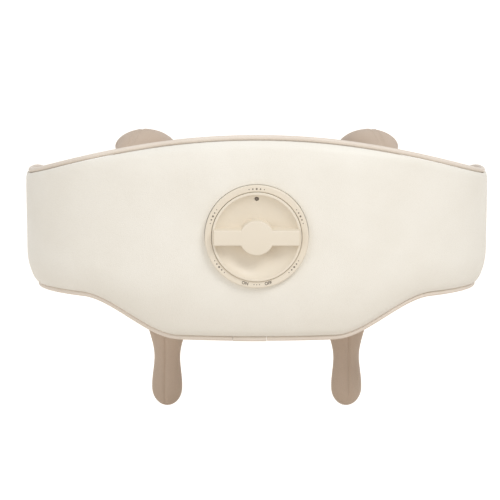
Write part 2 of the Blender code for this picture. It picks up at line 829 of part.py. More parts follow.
def case_slab(front_at, back, margin, row_shares):
    """A curved slab of the case, inset by a margin on all its edges."""
    half = [share * CASE_HALF_X for share in CASE_COLUMN_SHARES] + [CASE_HALF_X - margin]
    xs = [-x for x in reversed(half[1:])] + half
    outer, inner = [], []
    for x in xs:
        angle = angle_at_x(x)
        low, high = case_low(abs(x)), case_high(abs(x))
        heights = [low + margin] + [mix(low, high, share) for share in row_shares] + [high - margin]
        outer.append([at(angle, front_at(angle, height), height) for height in heights])
        inner.append([at(angle, back, height) for height in heights])
    return closed_sheet(outer, inner)


def boss_places():
    places = []
    for x_share, z_share in CASE_BOSS_SHARES:
        x = x_share * CASE_HALF_X
        z = z_share * (CASE_TOP if z_share > 0.0 else CASE_BOTTOM)
        places += [(x, z), (-x, z)]
    return places


def normal_frame(x, z):
    """Matrix whose Z runs inward from the crest line at one place."""
    angle = angle_at_x(x)
    point, inward = crest(angle)
    up = Vector((0.0, 0.0, 1.0))
    side_way = up.cross(inward)
    matrix = Matrix((side_way, up, inward)).transposed().to_4x4()
    matrix.translation = Vector((point.x, point.y, z))
    return matrix


def shell_front(angle, height):
    return cover_back(angle, height) + CASE_EASE


def make_rear_shell(frame, modules, materials):
    slab = case_slab(shell_front, CASE_SPLIT, 0.0, CASE_ROW_SHARES)
    shell = new_object("rear_shell", slab, materials["case"], frame, 35.0)

    def inner_front(angle, height):
        return shell_front(angle, height) + CASE_WALL

    cut(shell, case_slab(inner_front, CASE_SPLIT + CUT_OVERRUN, CASE_WALL, CASE_ROW_SHARES), frame)
    facing = Matrix.Rotation(-math.pi / 2.0, 4, "X")
    seat_low = BEZEL_BASE + SEAT_GAP
    seat_high = seat_low + SEAT_THICKNESS
    turned = facing @ Matrix.Rotation(math.pi / BIG_ROUND_STEPS, 4, "Z")
    unite(shell, rod(BEZEL_RADIUS - SEAT_GAP, seat_low, seat_high, BIG_ROUND_STEPS, turned), frame)
    bore_low = seat_low - CUT_OVERRUN
    bore_high = seat_high + CUT_OVERRUN
    bore = rod(SWITCH_BUSH_RADIUS + SEAT_GAP, bore_low, bore_high, SMALL_ROUND_STEPS + 4, facing)
    cut(shell, bore, frame)
    for module in modules:
        clamp_low = CASE_WALL + shell_front(angle_at_x(MODULE_X), 0.0) - BOSS_FUSE
        clamp = ring_profile(CLAMP_INNER_RADIUS, CLAMP_OUTER_RADIUS, clamp_low, GEARBOX_BACK - SEAT_GAP)
        unite(shell, lathe(clamp, ROUND_STEPS - 4, True), module)
    for x, z in boss_places():
        place = normal_frame(x, z)
        low = shell_front(angle_at_x(x), z) + BOSS_FUSE
        unite(shell, rod(BOSS_RADIUS, low, CASE_SPLIT, SMALL_ROUND_STEPS, place), frame)
        head, hole = SCREW_HEAD_RADIUS + SEAT_GAP, SCREW_RADIUS + SEAT_GAP
        sink = low + SCREW_HEAD_HEIGHT
        bore = ((0.0, 0.0), (head, 0.0), (head, sink), (hole, sink), (hole, CASE_SPLIT + CUT_OVERRUN),
                (0.0, CASE_SPLIT + CUT_OVERRUN))
        bore_place = place @ Matrix.Rotation(math.pi / SMALL_ROUND_STEPS, 4, "Z")
        cut(shell, lathe(bore, SMALL_ROUND_STEPS, matrix=bore_place), frame)
    for x, z in board_post_places():
        place = Matrix.Translation((x, 0.0, z)) @ facing
        low = seat_high - BOSS_FUSE
        unite(shell, rod(BOARD_POST_RADIUS, low, board_face() - SEAT_GAP, SMALL_ROUND_STEPS, place), frame)


def make_front_frame(frame, modules, hinges, materials):
    def front_split(angle, height):
        return CASE_SPLIT + SEAT_GAP

    slab = case_slab(front_split, FRAME_FACE, 0.0, ())
    body = new_object("front_frame", slab, materials["case"], frame, 35.0)

    def inner_front(angle, height):
        return CASE_SPLIT - CUT_OVERRUN

    cut(body, case_slab(inner_front, FRAME_FACE - CASE_WALL, CASE_WALL, ()), frame)
    for x, z in boss_places():
        place = normal_frame(x, z)
        low = CASE_SPLIT + SEAT_GAP
        unite(body, rod(BOSS_RADIUS, low, FRAME_FACE - BOSS_FUSE, SMALL_ROUND_STEPS, place), frame)
        tip = shell_front(angle_at_x(x), z) + CASE_SCREW_LENGTH + BOSS_FUSE + SCREW_HEAD_HEIGHT
        turned = place @ Matrix.Rotation(math.pi / SMALL_ROUND_STEPS, 4, "Z")
        cut(body, rod(SCREW_RADIUS + SEAT_GAP, low - CUT_OVERRUN, tip, SMALL_ROUND_STEPS, turned), frame)
    for module in modules:
        hole_radius = OUTPUT_SHAFT_RADIUS + SEAT_GAP + BUSH_WALL + BUSH_FLANGE + SEAT_GAP
        cut(body, rod(hole_radius, FRAME_FACE - CUT_OVERRUN, FRAME_FACE + CUT_OVERRUN, ROUND_STEPS), module)
    for hinge in hinges:
        for place in bracket_screw_places():
            unite(body, bracket_boss(place), hinge)
            cut(body, bracket_hole(place), hinge)


def screw_profile(length):
    """Head above the plane at height 0, thread below it."""
    side_top = SCREW_HEAD_HEIGHT * SCREW_SIDE_SHARE
    crown_radius = SCREW_HEAD_RADIUS * SCREW_TOP_SHARE
    return ((0.0, -length), (SCREW_RADIUS, -length + SCREW_RADIUS), (SCREW_RADIUS, 0.0),
            (SCREW_HEAD_RADIUS, 0.0), (SCREW_HEAD_RADIUS, side_top), (crown_radius, SCREW_HEAD_HEIGHT), (0.0, SCREW_HEAD_HEIGHT))


def make_screw(name, place, length, parent, materials):
    """The place is a matrix whose Z points out of the screw's head."""
    bm = lathe(screw_profile(length), SMALL_ROUND_STEPS - 2, matrix=place)
    new_object(name, bm, materials["steel"], parent, 30.0)


def make_case_screws(frame, materials):
    turn = Matrix.Rotation(math.pi, 4, "X")
    for number, (x, z) in enumerate(boss_places(), 1):
        seat = shell_front(angle_at_x(x), z) + BOSS_FUSE + SCREW_HEAD_HEIGHT - SEAT_GAP
        place = normal_frame(x, z) @ Matrix.Translation((0.0, 0.0, seat)) @ turn
        make_screw("case_screw_%d" % number, place, CASE_SCREW_LENGTH, frame, materials)


# Dial

def outward_frame(name, frame):
    """An empty whose Z points out of the cushion, along the dial's axis."""
    return new_empty(name, frame, rotation=Matrix.Rotation(math.pi / 2.0, 3, "X"))


def make_bezel(dial, materials):
    """A cup that the switch's nut clamps to the rear shell."""
    top = BEZEL_PROUD
    hole = SWITCH_BUSH_RADIUS + SEAT_GAP
    floor = -BEZEL_BASE + BEZEL_FLOOR
    profile = ((hole, -BEZEL_BASE), (BEZEL_RADIUS, -BEZEL_BASE), (BEZEL_RADIUS, top - BEZEL_ROUND),
               (BEZEL_RADIUS - BEZEL_ROUND, top), (BEZEL_INNER_RADIUS + BEZEL_ROUND / 2.0, top),
               (BEZEL_INNER_RADIUS, top - BEZEL_ROUND / 2.0), (BEZEL_INNER_RADIUS, floor), (hole, floor))
    new_object("dial_bezel", lathe(profile, BIG_ROUND_STEPS, True), materials["dial"], dial, 30.0)
    nut_low = floor + SEAT_GAP
    nut_high = nut_low + NUT_THICKNESS
    nut = new_object("switch_nut", rod(NUT_RADIUS, nut_low, nut_high, 6), materials["brass"], dial)
    cut(nut, rod(hole, floor - CUT_OVERRUN, nut_high + CUT_OVERRUN, SMALL_ROUND_STEPS + 4), dial)


def nut_room():
    """Height of the knob's recess over the nut and the end of the switch's bush."""
    return -BEZEL_BASE + BEZEL_FLOOR + NUT_THICKNESS + SWITCH_BUSH_PROUD + RUN_GAP + SEAT_GAP


def make_knob(knob_axis, materials):
    rim_inner = KNOB_RADIUS - KNOB_RIM_WIDTH
    depth = KNOB_RIM_HEIGHT + DISH_FLOOR
    eased = KNOB_RADIUS - KNOB_RIM_ROUND
    profile = [(0.0, -KNOB_BACK), (eased, -KNOB_BACK), (KNOB_RADIUS, -KNOB_BACK + KNOB_RIM_ROUND),
               (KNOB_RADIUS, KNOB_RIM_HEIGHT - KNOB_RIM_ROUND), (eased, KNOB_RIM_HEIGHT),
               (rim_inner, KNOB_RIM_HEIGHT)]
    profile += [(rim_inner * radius, -DISH_FLOOR + depth * height) for radius, height in DISH_SHARES]
    profile += [(0.0, -DISH_FLOOR)]
    knob = new_object("knob", lathe(profile, BIG_ROUND_STEPS), materials["dial"], knob_axis, 30.0)
    unite(knob, grip_bar(), knob_axis)
    hub_base = HUB_RADIUS + HUB_DRAFT
    hub_top = BAR_HEIGHT + HUB_PROUD
    hub_low = -DISH_FLOOR - BOSS_FUSE
    hub = ((0.0, hub_low), (hub_base, hub_low), (HUB_RADIUS, hub_top - BAR_EDGE_ROUND),
           (HUB_RADIUS - BAR_EDGE_ROUND, hub_top), (0.0, hub_top))
    unite(knob, lathe(hub, ROUND_STEPS), knob_axis)
    bore_top = nut_room() + SHAFT_GRIP
    cut(knob, rod(NUT_RADIUS + RUN_GAP, -KNOB_BACK - CUT_OVERRUN, nut_room(), ROUND_STEPS), knob_axis)
    cut(knob, rod(SHAFT_RADIUS + SEAT_GAP, -KNOB_BACK - CUT_OVERRUN, bore_top, SMALL_ROUND_STEPS), knob_axis)
    dot_place = Matrix.Translation((0.0, DOT_OFFSET, 0.0))
    dish_height = dish_height_at(DOT_OFFSET)
    dot_low = dish_height - DOT_DEPTH
    hole_top = dish_height + CUT_OVERRUN
    hole = rod(DOT_RADIUS + SEAT_GAP, dot_low - SEAT_GAP, hole_top, SMALL_ROUND_STEPS, dot_place)
    cut(knob, hole, knob_axis)
    dot = rod(DOT_RADIUS, dot_low, dish_height - DOT_SINK, SMALL_ROUND_STEPS, dot_place)
    new_object("indicator_dot", dot, materials["mark"], knob_axis, 30.0)


def dish_height_at(radius):
    rim_inner = KNOB_RADIUS - KNOB_RIM_WIDTH
    depth = KNOB_RIM_HEIGHT + DISH_FLOOR
    points = [(1.0, 1.0)] + list(DISH_SHARES) + [(0.0, 0.0)]
    share = radius / rim_inner
    for (far, far_height), (near, near_height) in zip(points, points[1:]):
        if near <= share <= far:
            return -DISH_FLOOR + depth * mix(near_height, far_height, (share - near) / (far - near))
    return KNOB_RIM_HEIGHT


def grip_bar():
    """A bar with drafted sides and eased top edges, its section swept along X."""
    base = -DISH_FLOOR - BOSS_FUSE
    eased = BAR_TOP_HALF_WIDTH - BAR_EDGE_ROUND
    shoulder = BAR_HEIGHT - BAR_EDGE_ROUND
    section = ((-BAR_BASE_HALF_WIDTH, base), (BAR_BASE_HALF_WIDTH, base), (BAR_TOP_HALF_WIDTH, shoulder),
               (eased, BAR_HEIGHT), (-eased, BAR_HEIGHT), (-BAR_TOP_HALF_WIDTH, shoulder))
    rings = []
    for end in (-1.0, 1.0):
        rings.append([Vector((end * BAR_HALF_LENGTH, y, z)) for y, z in section])
    return sweep(rings)


def board_face():
    """Depth of the control board's rear face, behind the switch."""
    return BEZEL_BASE + SEAT_THICKNESS + SWITCH_DEPTH + 3.0 * SEAT_GAP


def make_switch(frame, knob_axis, materials):
    low = BEZEL_BASE + SEAT_THICKNESS + 2.0 * SEAT_GAP
    half = SWITCH_SIZE / 2.0
    switch = new_object("rotary_switch", box((-half, low, -half), (half, low + SWITCH_DEPTH, half)),
                        materials["gearbox"], frame)
    facing = Matrix.Rotation(-math.pi / 2.0, 4, "X")
    bush_end = BEZEL_BASE - BEZEL_FLOOR - SEAT_GAP - NUT_THICKNESS - SWITCH_BUSH_PROUD
    bush = rod(SWITCH_BUSH_RADIUS, bush_end, low + SWITCH_DEPTH / 2.0, SMALL_ROUND_STEPS + 4, facing)
    unite(switch, bush, frame)
    depth = low + SWITCH_DEPTH - CASE_WALL
    cut(switch, rod(SHAFT_RADIUS + SEAT_GAP, bush_end - CUT_OVERRUN, depth, SMALL_ROUND_STEPS, facing), frame)
    shaft_tip = nut_room() + SHAFT_GRIP - SEAT_GAP
    shaft = rod(SHAFT_RADIUS, -(depth - SEAT_GAP), shaft_tip, SMALL_ROUND_STEPS)
    new_object("switch_shaft", shaft, materials["steel"], knob_axis, 30.0)


def board_post_places():
    inset = BOARD_POST_INSET
    return [(x, z) for x in (-BOARD_HALF_X + inset, BOARD_HALF_X - inset)
            for z in (BOARD_LOW_Z + inset, BOARD_HIGH_Z - inset)]


def make_board(frame, materials):
    """The board is soldered to the switch and rests on four posts of the rear shell."""
    face = board_face()
    back = face + BOARD_THICKNESS
    plate = box((-BOARD_HALF_X, face, BOARD_LOW_Z), (BOARD_HALF_X, back, BOARD_HIGH_Z))
    board = new_object("control_board", plate, materials["board"], frame)
    half = CHIP_SIZE / 2.0
    for x, z in ((-CHIP_OFFSET_X, 0.0), (CHIP_OFFSET_X, 0.0), (0.0, CHIP_OFFSET_Z)):
        chip_low = (x - half, back - BOARD_THICKNESS / 2.0, z - half)
        chip = box(chip_low, (x + half, back + CHIP_HEIGHT, z + half))
        unite(board, chip, frame)


# Battery and charging socket

def make_battery(frame, materials):
    sideways = Matrix.Rotation(math.pi / 2.0, 4, "Y")
    half = CELL_LENGTH / 2.0
    rim = CELL_RADIUS * END_RIM_SHARE
    profile = ((0.0, -half), (rim, -half), (CELL_RADIUS, -half + CELL_RADIUS - rim),
               (CELL_RADIUS, half - CELL_RADIUS + rim), (rim, half), (0.0, half))
    for index, name in enumerate(("battery_cell_upper", "battery_cell_lower")):
        place = Matrix.Translation((0.0, CELL_FACE, CELL_TOP_Z - index * CELL_PITCH)) @ sideways
        new_object(name, lathe(profile, ROUND_STEPS - 8, matrix=place), materials["cell"], frame, 30.0)
    low_z = CELL_TOP_Z - CELL_PITCH - CELL_RADIUS + HOLDER_WALL / 4.0
    high_z = CELL_TOP_Z + CELL_RADIUS - HOLDER_WALL / 4.0
    back = CELL_FACE - CELL_RADIUS - SEAT_GAP
    inner_x = half + SEAT_GAP
    outer_x = inner_x + HOLDER_WALL
    plate = box((-outer_x, back - HOLDER_WALL, low_z), (outer_x, back + HOLDER_DEPTH, high_z))
    tray = new_object("battery_holder", plate, materials["gearbox"], frame)
    cut(tray, box((-inner_x, back, low_z - CUT_OVERRUN), (inner_x, FRAME_FACE, high_z + CUT_OVERRUN)), frame)
    leg = HOLDER_WALL
    end_angle = angle_at_x(inner_x)
    shell_back = at(end_angle, shell_front(end_angle, low_z) + CASE_WALL + 2.0 * SEAT_GAP, 0.0).y
    for x in (-inner_x + leg, inner_x - 2.0 * leg):
        top = CELL_TOP_Z - CELL_PITCH + leg
        unite(tray, box((x, shell_back, low_z + 2.0 * leg), (x + leg, back - leg / 2.0, top)), frame)


def port_bottom():
    """Height of the socket block's lower face, just proud of the lining."""
    low, high = outline(0.0)
    return low - PORT_PROUD


def make_port(frame, materials):
    bottom = port_bottom()
    half_width, half_thickness = PORT_WIDTH / 2.0, PORT_THICKNESS / 2.0
    top = -CASE_BOTTOM - SEAT_GAP
    block = new_object("port_housing", box((-half_width, PORT_FACE_DEPTH - half_thickness, bottom),
                                           (half_width, PORT_FACE_DEPTH + half_thickness, top)),
                       materials["lining"], frame)
    pocket_x, pocket_y = SOCKET_WIDTH / 2.0 + SEAT_GAP, SOCKET_HEIGHT / 2.0 + SEAT_GAP
    pocket_top = bottom + SOCKET_RECESS + SOCKET_LENGTH + SEAT_GAP
    cut(block, box((-pocket_x, PORT_FACE_DEPTH - pocket_y, bottom - CUT_OVERRUN),
                   (pocket_x, PORT_FACE_DEPTH + pocket_y, pocket_top)), frame)
    half_x, half_y = SOCKET_WIDTH / 2.0, SOCKET_HEIGHT / 2.0
    low = bottom + SOCKET_RECESS
    socket = new_object("usb_socket", box((-half_x, PORT_FACE_DEPTH - half_y, low),
                                          (half_x, PORT_FACE_DEPTH + half_y, low + SOCKET_LENGTH)),
                        materials["steel"], frame)
    inner_x, inner_y = half_x - SOCKET_WALL, half_y - SOCKET_WALL
    mouth_top = low + SOCKET_LENGTH - 2.0 * SOCKET_WALL
    cut(socket, box((-inner_x, PORT_FACE_DEPTH - inner_y, low - CUT_OVERRUN),
                    (inner_x, PORT_FACE_DEPTH + inner_y, mouth_top)), frame)
    tongue_x, tongue_y = TONGUE_WIDTH / 2.0, TONGUE_THICKNESS / 2.0
    unite(socket, box((-tongue_x, PORT_FACE_DEPTH - tongue_y, mouth_top - TONGUE_LENGTH),
                      (tongue_x, PORT_FACE_DEPTH + tongue_y, mouth_top + SOCKET_WALL)), frame)


# Kneading modules. In a module's frame Z is its axis, towards the wearer, and Y is up

def make_module_frame(frame, side, name):
    matrix = normal_frame(side * MODULE_X, 0.0)
    return new_empty(name, frame, matrix.to_translation(), matrix.to_3x3())


def worm_offset():
    return GEAR_MODULE * WHEEL_TEETH / 2.0 + WORM_PITCH_RADIUS


def worm_matrix(side):
    """Matrix on the worm's axis, on the module's outer side, with Z up."""
    upright = Matrix.Rotation(-math.pi / 2.0, 4, "X")
    return Matrix.Translation((-side * worm_offset(), 0.0, WHEEL_FACE)) @ upright


def wheel_outline():
    """Tooth outline of the worm wheel: root, flank, tip and flank for each tooth."""
    pitch_radius = GEAR_MODULE * WHEEL_TEETH / 2.0
    tip, root = pitch_radius + GEAR_MODULE, pitch_radius - TOOTH_DEPTH_SHARE * GEAR_MODULE
    step = math.tau / WHEEL_TEETH
    points = []
    for tooth in range(WHEEL_TEETH):
        middle = tooth * step
        half_root = step * TOOTH_ROOT_SHARE / 2.0
        half_tip = step * WHEEL_TOOTH_SHARE * TOOTH_TIP_SHARE / 2.0
        for radius, offset in ((root, -half_root), (tip, -half_tip), (tip, half_tip), (root, half_root)):
            points.append((radius * math.cos(middle + offset), radius * math.sin(middle + offset)))
    return points


def make_rotor(disc_axis, name_end, materials):
    disc_back = DISC_FACE - DISC_THICKNESS
    shaft_end = GEARBOX_BACK + GEARBOX_WALL / 2.0
    profile = ((0.0, shaft_end), (OUTPUT_SHAFT_RADIUS, shaft_end), (OUTPUT_SHAFT_RADIUS, disc_back),
               (DISC_RADIUS, disc_back), (DISC_RADIUS, DISC_FACE - DISC_THICKNESS / 3.0),
               (DISC_RADIUS - DISC_THICKNESS / 3.0, DISC_FACE), (0.0, DISC_FACE))
    carrier = new_object("kneading_disc_" + name_end, lathe(profile, BIG_ROUND_STEPS), materials["carrier"],
                         disc_axis, 30.0)
    stem_low = disc_back + SEAT_GAP
    base = DISC_FACE + SEAT_GAP
    dome_turns = [share * math.pi / 2.0 for share in DOME_SHARES]
    dome = [(HEAD_RADIUS * math.cos(turn), base + HEAD_HEIGHT * math.sin(turn)) for turn in dome_turns]
    head = [(0.0, stem_low), (HEAD_STEM_RADIUS, stem_low), (HEAD_STEM_RADIUS, base)] + dome
    head += [(0.0, base + HEAD_HEIGHT)]
    for number, turn in enumerate((1.0, -1.0), 1):
        place = Matrix.Translation((turn * HEAD_CIRCLE, 0.0, 0.0))
        name = "kneading_head_%s_%d" % (name_end, number)
        new_object(name, lathe(head, ROUND_STEPS - 4, matrix=place), materials["silicone"], disc_axis, 40.0)
        turned = place @ Matrix.Rotation(math.pi / ROUND_STEPS, 4, "Z")
        hole_low, hole_high = disc_back - CUT_OVERRUN, DISC_FACE + CUT_OVERRUN
        cut(carrier, rod(HEAD_STEM_RADIUS + SEAT_GAP, hole_low, hole_high, ROUND_STEPS, turned), disc_axis)
    half = WHEEL_WIDTH / 2.0
    wheel = new_object("worm_wheel_" + name_end, prism(wheel_outline(), WHEEL_FACE - half, WHEEL_FACE + half),
                       materials["gear"], disc_axis)
    bore_low, bore_high = WHEEL_FACE - WHEEL_WIDTH, WHEEL_FACE + WHEEL_WIDTH
    cut(wheel, rod(OUTPUT_SHAFT_RADIUS + SEAT_GAP, bore_low, bore_high, ROUND_STEPS), disc_axis)


def make_gearbox(module, side, name_end, materials):
    cavity = GEAR_MODULE * (WHEEL_TEETH / 2.0 + 1.0) + RUN_GAP
    lid_top = FRAME_FACE - CASE_WALL - SEAT_GAP
    lid_base = lid_top - LID_THICKNESS
    shaft_radius = OUTPUT_SHAFT_RADIUS + SEAT_GAP
    box_top = lid_base - SEAT_GAP
    outer = cavity + GEARBOX_WALL
    housing = new_object("gearbox_" + name_end, rod(outer, GEARBOX_BACK, box_top, ROUND_STEPS),
                         materials["gearbox"], module, 30.0)
    upright = worm_matrix(side)
    unite(housing, rod(WORM_TUBE_RADIUS, -WORM_TUBE_BOTTOM, WORM_TUBE_TOP, ROUND_STEPS - 8, upright), module)
    floor = GEARBOX_BACK + GEARBOX_WALL
    cut(housing, rod(cavity, floor, lid_top + CUT_OVERRUN, ROUND_STEPS), module)
    pilot_low = GEARBOX_BACK + GEARBOX_WALL * PILOT_START_SHARE
    cut(housing, rod(shaft_radius, pilot_low, floor + CUT_OVERRUN, SMALL_ROUND_STEPS), module)
    worm_room = WORM_TIP_RADIUS + RUN_GAP
    room_top = WORM_TUBE_TOP - WORM_TUBE_END_WALL
    cut(housing, rod(worm_room, -WORM_TUBE_BOTTOM - CUT_OVERRUN, room_top, ROUND_STEPS - 8, upright), module)
    bore = rod(WORM_SHAFT_RADIUS + SEAT_GAP, 0.0, WORM_TUBE_TOP + CUT_OVERRUN, SMALL_ROUND_STEPS, upright)
    cut(housing, bore, module)
    lid = new_object("gearbox_lid_" + name_end, rod(outer, lid_base, lid_top, ROUND_STEPS),
                     materials["gearbox"], module, 30.0)
    bush_radius = shaft_radius + BUSH_WALL
    cut(lid, rod(bush_radius + SEAT_GAP, lid_base - CUT_OVERRUN, lid_top + CUT_OVERRUN, ROUND_STEPS), module)
    bush_seat = lid_top + SEAT_GAP
    bush_top = bush_seat + BUSH_FLANGE_HEIGHT
    flange = bush_radius + BUSH_FLANGE
    profile = ((shaft_radius, lid_base), (bush_radius, lid_base), (bush_radius, bush_seat),
               (flange, bush_seat), (flange, bush_top), (shaft_radius, bush_top))
    new_object("output_bush_" + name_end, lathe(profile, ROUND_STEPS, True), materials["brass"], module, 30.0)


def make_motor(module, side, name_end, materials):
    upright = worm_matrix(side)
    top = -WORM_TUBE_BOTTOM - SEAT_GAP
    low = top - MOTOR_LENGTH
    rim = MOTOR_RADIUS * END_RIM_SHARE
    bore = WORM_SHAFT_RADIUS + SEAT_GAP
    profile = ((0.0, low), (rim, low), (MOTOR_RADIUS, low + MOTOR_RADIUS - rim), (MOTOR_RADIUS, top),
               (bore, top), (bore, top - MOTOR_BORE_DEPTH), (0.0, top - MOTOR_BORE_DEPTH))
    can = lathe(profile, ROUND_STEPS, matrix=upright)
    new_object("motor_" + name_end, can, materials["steel"], module, 30.0)


def make_worm(worm_axis, side, name_end, materials):
    """A shaft with a single-start thread that meets the wheel between two teeth. Z is its axis, upwards."""
    pitch = math.pi * GEAR_MODULE
    low = -WORM_TUBE_BOTTOM - MOTOR_BORE_DEPTH + SEAT_GAP
    body_half = WORM_TURNS * pitch / 2.0 + WORM_THREAD_ROOT_WIDTH
    high_body = min(body_half, WORM_TUBE_TOP - WORM_TUBE_END_WALL - RUN_GAP)
    profile = ((0.0, low), (WORM_SHAFT_RADIUS, low), (WORM_SHAFT_RADIUS, -body_half),
               (WORM_ROOT_RADIUS, -body_half), (WORM_ROOT_RADIUS, high_body), (WORM_SHAFT_RADIUS, high_body),
               (WORM_SHAFT_RADIUS, WORM_TOP), (0.0, WORM_TOP))
    core = lathe(profile, SMALL_ROUND_STEPS)
    worm = new_object("worm_" + name_end, core, materials["brass"], worm_axis, 30.0)
    rings = []
    sunk = WORM_ROOT_RADIUS * THREAD_SUNK_SHARE
    half_root, half_tip = WORM_THREAD_ROOT_WIDTH / 2.0, WORM_THREAD_TIP_WIDTH / 2.0
    steps = WORM_TURNS * WORM_STEPS_PER_TURN
    for step in range(steps + 1):
        turn = step / WORM_STEPS_PER_TURN - WORM_TURNS / 2.0
        angle = math.tau * turn
        height = (turn + (side + 1.0) / 4.0) * pitch
        way = Vector((math.cos(angle), math.sin(angle), 0.0))
        ring = []
        for radius, offset in ((sunk, -half_root), (WORM_TIP_RADIUS, -half_tip), (WORM_TIP_RADIUS, half_tip),
                               (sunk, half_root)):
            ring.append(way * radius + Vector((0.0, 0.0, height + offset)))
        rings.append(ring)
    unite(worm, sweep(rings), worm_axis)


def make_ring(module, name_end, materials):
    inner = MODULE_OPENING_RADIUS - RING_WALL - SEAT_GAP
    outer = MODULE_OPENING_RADIUS - SEAT_GAP
    lip = MODULE_OPENING_RADIUS + RING_LIP_WIDTH
    seat = BODY_THICKNESS - RING_SINK + SEAT_GAP
    top = seat + RING_LIP_HEIGHT
    end = BODY_THICKNESS - RING_DEPTH
    eased = RING_LIP_HEIGHT / 2.0
    profile = ((inner, end), (outer, end), (outer, seat), (lip, seat), (lip, top - eased), (lip - eased, top),
               (inner, top))
    ring = lathe(profile, BIG_ROUND_STEPS, True)
    new_object("opening_ring_" + name_end, ring, materials["carrier"], module, 30.0)


def make_module(frame, side, name_end, module, materials):
    make_ring(module, name_end, materials)
    make_gearbox(module, side, name_end, materials)
    make_motor(module, side, name_end, materials)
    disc_axis = new_empty("disc_axis_" + name_end, module)
    make_rotor(disc_axis, name_end, materials)
    upright = Matrix.Rotation(-math.pi / 2.0, 3, "X")
    worm_axis = new_empty("worm_axis_" + name_end, module, (-side * worm_offset(), 0.0, WHEEL_FACE), upright)
    make_worm(worm_axis, side, name_end, materials)


# Arms. In an arm's frame X is its hinge axis, Y points forwards and Z up, from the hinge

def arm_start_turn():
    return math.acos(ARCH_CENTRE / ARCH_HALF_SPAN)


def arch_rise():
    """Rise of the half ellipse whose line passes through the hinge."""
    return ARCH_TOP_ABOVE_HINGE / (1.0 - math.sin(arm_start_turn()))


def arm_start_angle():
    """Angle above level at which the arm leaves its hinge."""
    turn = arm_start_turn()
    return math.atan2(arch_rise() * math.cos(turn), ARCH_HALF_SPAN * math.sin(turn))


def arch_point(turn):
    height = ARCH_TOP_ABOVE_HINGE - arch_rise() * (1.0 - math.sin(turn))
    return Vector((0.0, ARCH_CENTRE - ARCH_HALF_SPAN * math.cos(turn), height))


def arm_line():
    """Points along the arm's middle line: an arch, then a leg that leans a little to the wearer."""
    start = arm_start_turn()
    steps = 60
    points = [arch_point(mix(start, math.pi, step / steps)) for step in range(steps + 1)]
    front = points[-1]
    drop = (ARM_TIP_Z - ARM_HINGE_Z) - front.z
    for step in range(1, steps + 1):
        share = step / steps
        points.append(Vector((0.0, front.y - ARM_LEG_LEAN * share * share, front.z + drop * share)))
    return points


def line_lengths(points):
    lengths = [0.0]
    for before, after in zip(points, points[1:]):
        lengths.append(lengths[-1] + (after - before).length)
    return lengths


ARM_LINE = arm_line()
ARM_LENGTHS = line_lengths(ARM_LINE)
ARM_LENGTH = ARM_LENGTHS[-1]


def arm_frame(share):
    """Point and way of the arm's middle line at a share of its length."""
    target = min(1.0, max(0.0, share)) * ARM_LENGTH
    index = 1
    while index < len(ARM_LENGTHS) - 1 and ARM_LENGTHS[index] < target:
        index += 1
    before, after = ARM_LINE[index - 1], ARM_LINE[index]
    part = (target - ARM_LENGTHS[index - 1]) / (ARM_LENGTHS[index] - ARM_LENGTHS[index - 1])
    first = ARM_LINE[max(0, index - 2)]
    last = ARM_LINE[min(len(ARM_LINE) - 1, index + 1)]
    return before.lerp(after, part), (last - first).normalized()


def share_at_height(height):
    """Share of the arm's length at a height above the hinge, on the leg."""
    for index in range(len(ARM_LINE) - 1, 0, -1):
        if ARM_LINE[index - 1].z >= height:
            part = (ARM_LINE[index - 1].z - height) / (ARM_LINE[index - 1].z - ARM_LINE[index].z)
            return mix(ARM_LENGTHS[index - 1], ARM_LENGTHS[index], part) / ARM_LENGTH
    return 0.0


WIDEN_START_SHARE = ARM_WIDEN_START / ARM_LENGTH
WIDEN_END_SHARE = ARM_WIDEN_END / ARM_LENGTH
WAIST_SHARE = share_at_height(ARM_WAIST_Z - ARM_HINGE_Z)
NECK_SHARE = share_at_height(ARM_NECK_Z - ARM_HINGE_Z)
GRIP_SHARE = share_at_height(ARM_GRIP_Z - ARM_HINGE_Z)


def along_arm(share, values):
    """Value at a share of the arm, from its values at root, arch, waist, neck and grip."""
    root, arch, waist, neck, grip = values
    value = mix(root, arch, smooth_step(WIDEN_START_SHARE, WIDEN_END_SHARE, share))
    value = mix(value, waist, smooth_step(WIDEN_END_SHARE, WAIST_SHARE, share))
    value = mix(value, neck, smooth_step(WAIST_SHARE, NECK_SHARE, share))
    return mix(value, grip, smooth_step(NECK_SHARE, GRIP_SHARE, share))


def arm_width(share):
    """Broad over the shoulder, narrow at the neck above the grip, then the rounded grip."""
    return along_arm(share, (ARM_ROOT_WIDTH, ARM_ARCH_WIDTH, ARM_WAIST_WIDTH, ARM_NECK_WIDTH, ARM_GRIP_WIDTH))


def arm_thickness(share):
    return along_arm(share, (ARM_ROOT_THICKNESS, ARM_ARCH_THICKNESS, ARM_WAIST_THICKNESS, ARM_NECK_THICKNESS,
                             ARM_GRIP_THICKNESS))


def arm_roll(side, share):
    """Over the shoulder the arm's outer side lies lower."""
    rise = smooth_step(WIDEN_START_SHARE, WIDEN_END_SHARE, share)
    fall = smooth_step(2.0 * WIDEN_END_SHARE, WAIST_SHARE, share)
    return side * math.radians(ARM_ROLL_DEG) * rise * (1.0 - fall)


def arm_point(side, share, angle, size=1.0):
    """A point on the sleeve. Angle 0 is towards +X, a quarter turn is the outer, upper face."""
    centre, way = arm_frame(share)
    across = Vector((1.0, 0.0, 0.0))
    outward = across.cross(way)
    roll = Matrix.Rotation(arm_roll(side, share), 3, way)
    across, outward = roll @ across, roll @ outward
    power = 2.0 / ARM_SECTION_POWER
    cosine, sine = math.cos(angle), math.sin(angle)
    x = math.copysign(abs(cosine) ** power, cosine) * arm_width(share) / 2.0 * size
    y = math.copysign(abs(sine) ** power, sine) * arm_thickness(share) / 2.0 * size
    return centre + across * x + outward * y


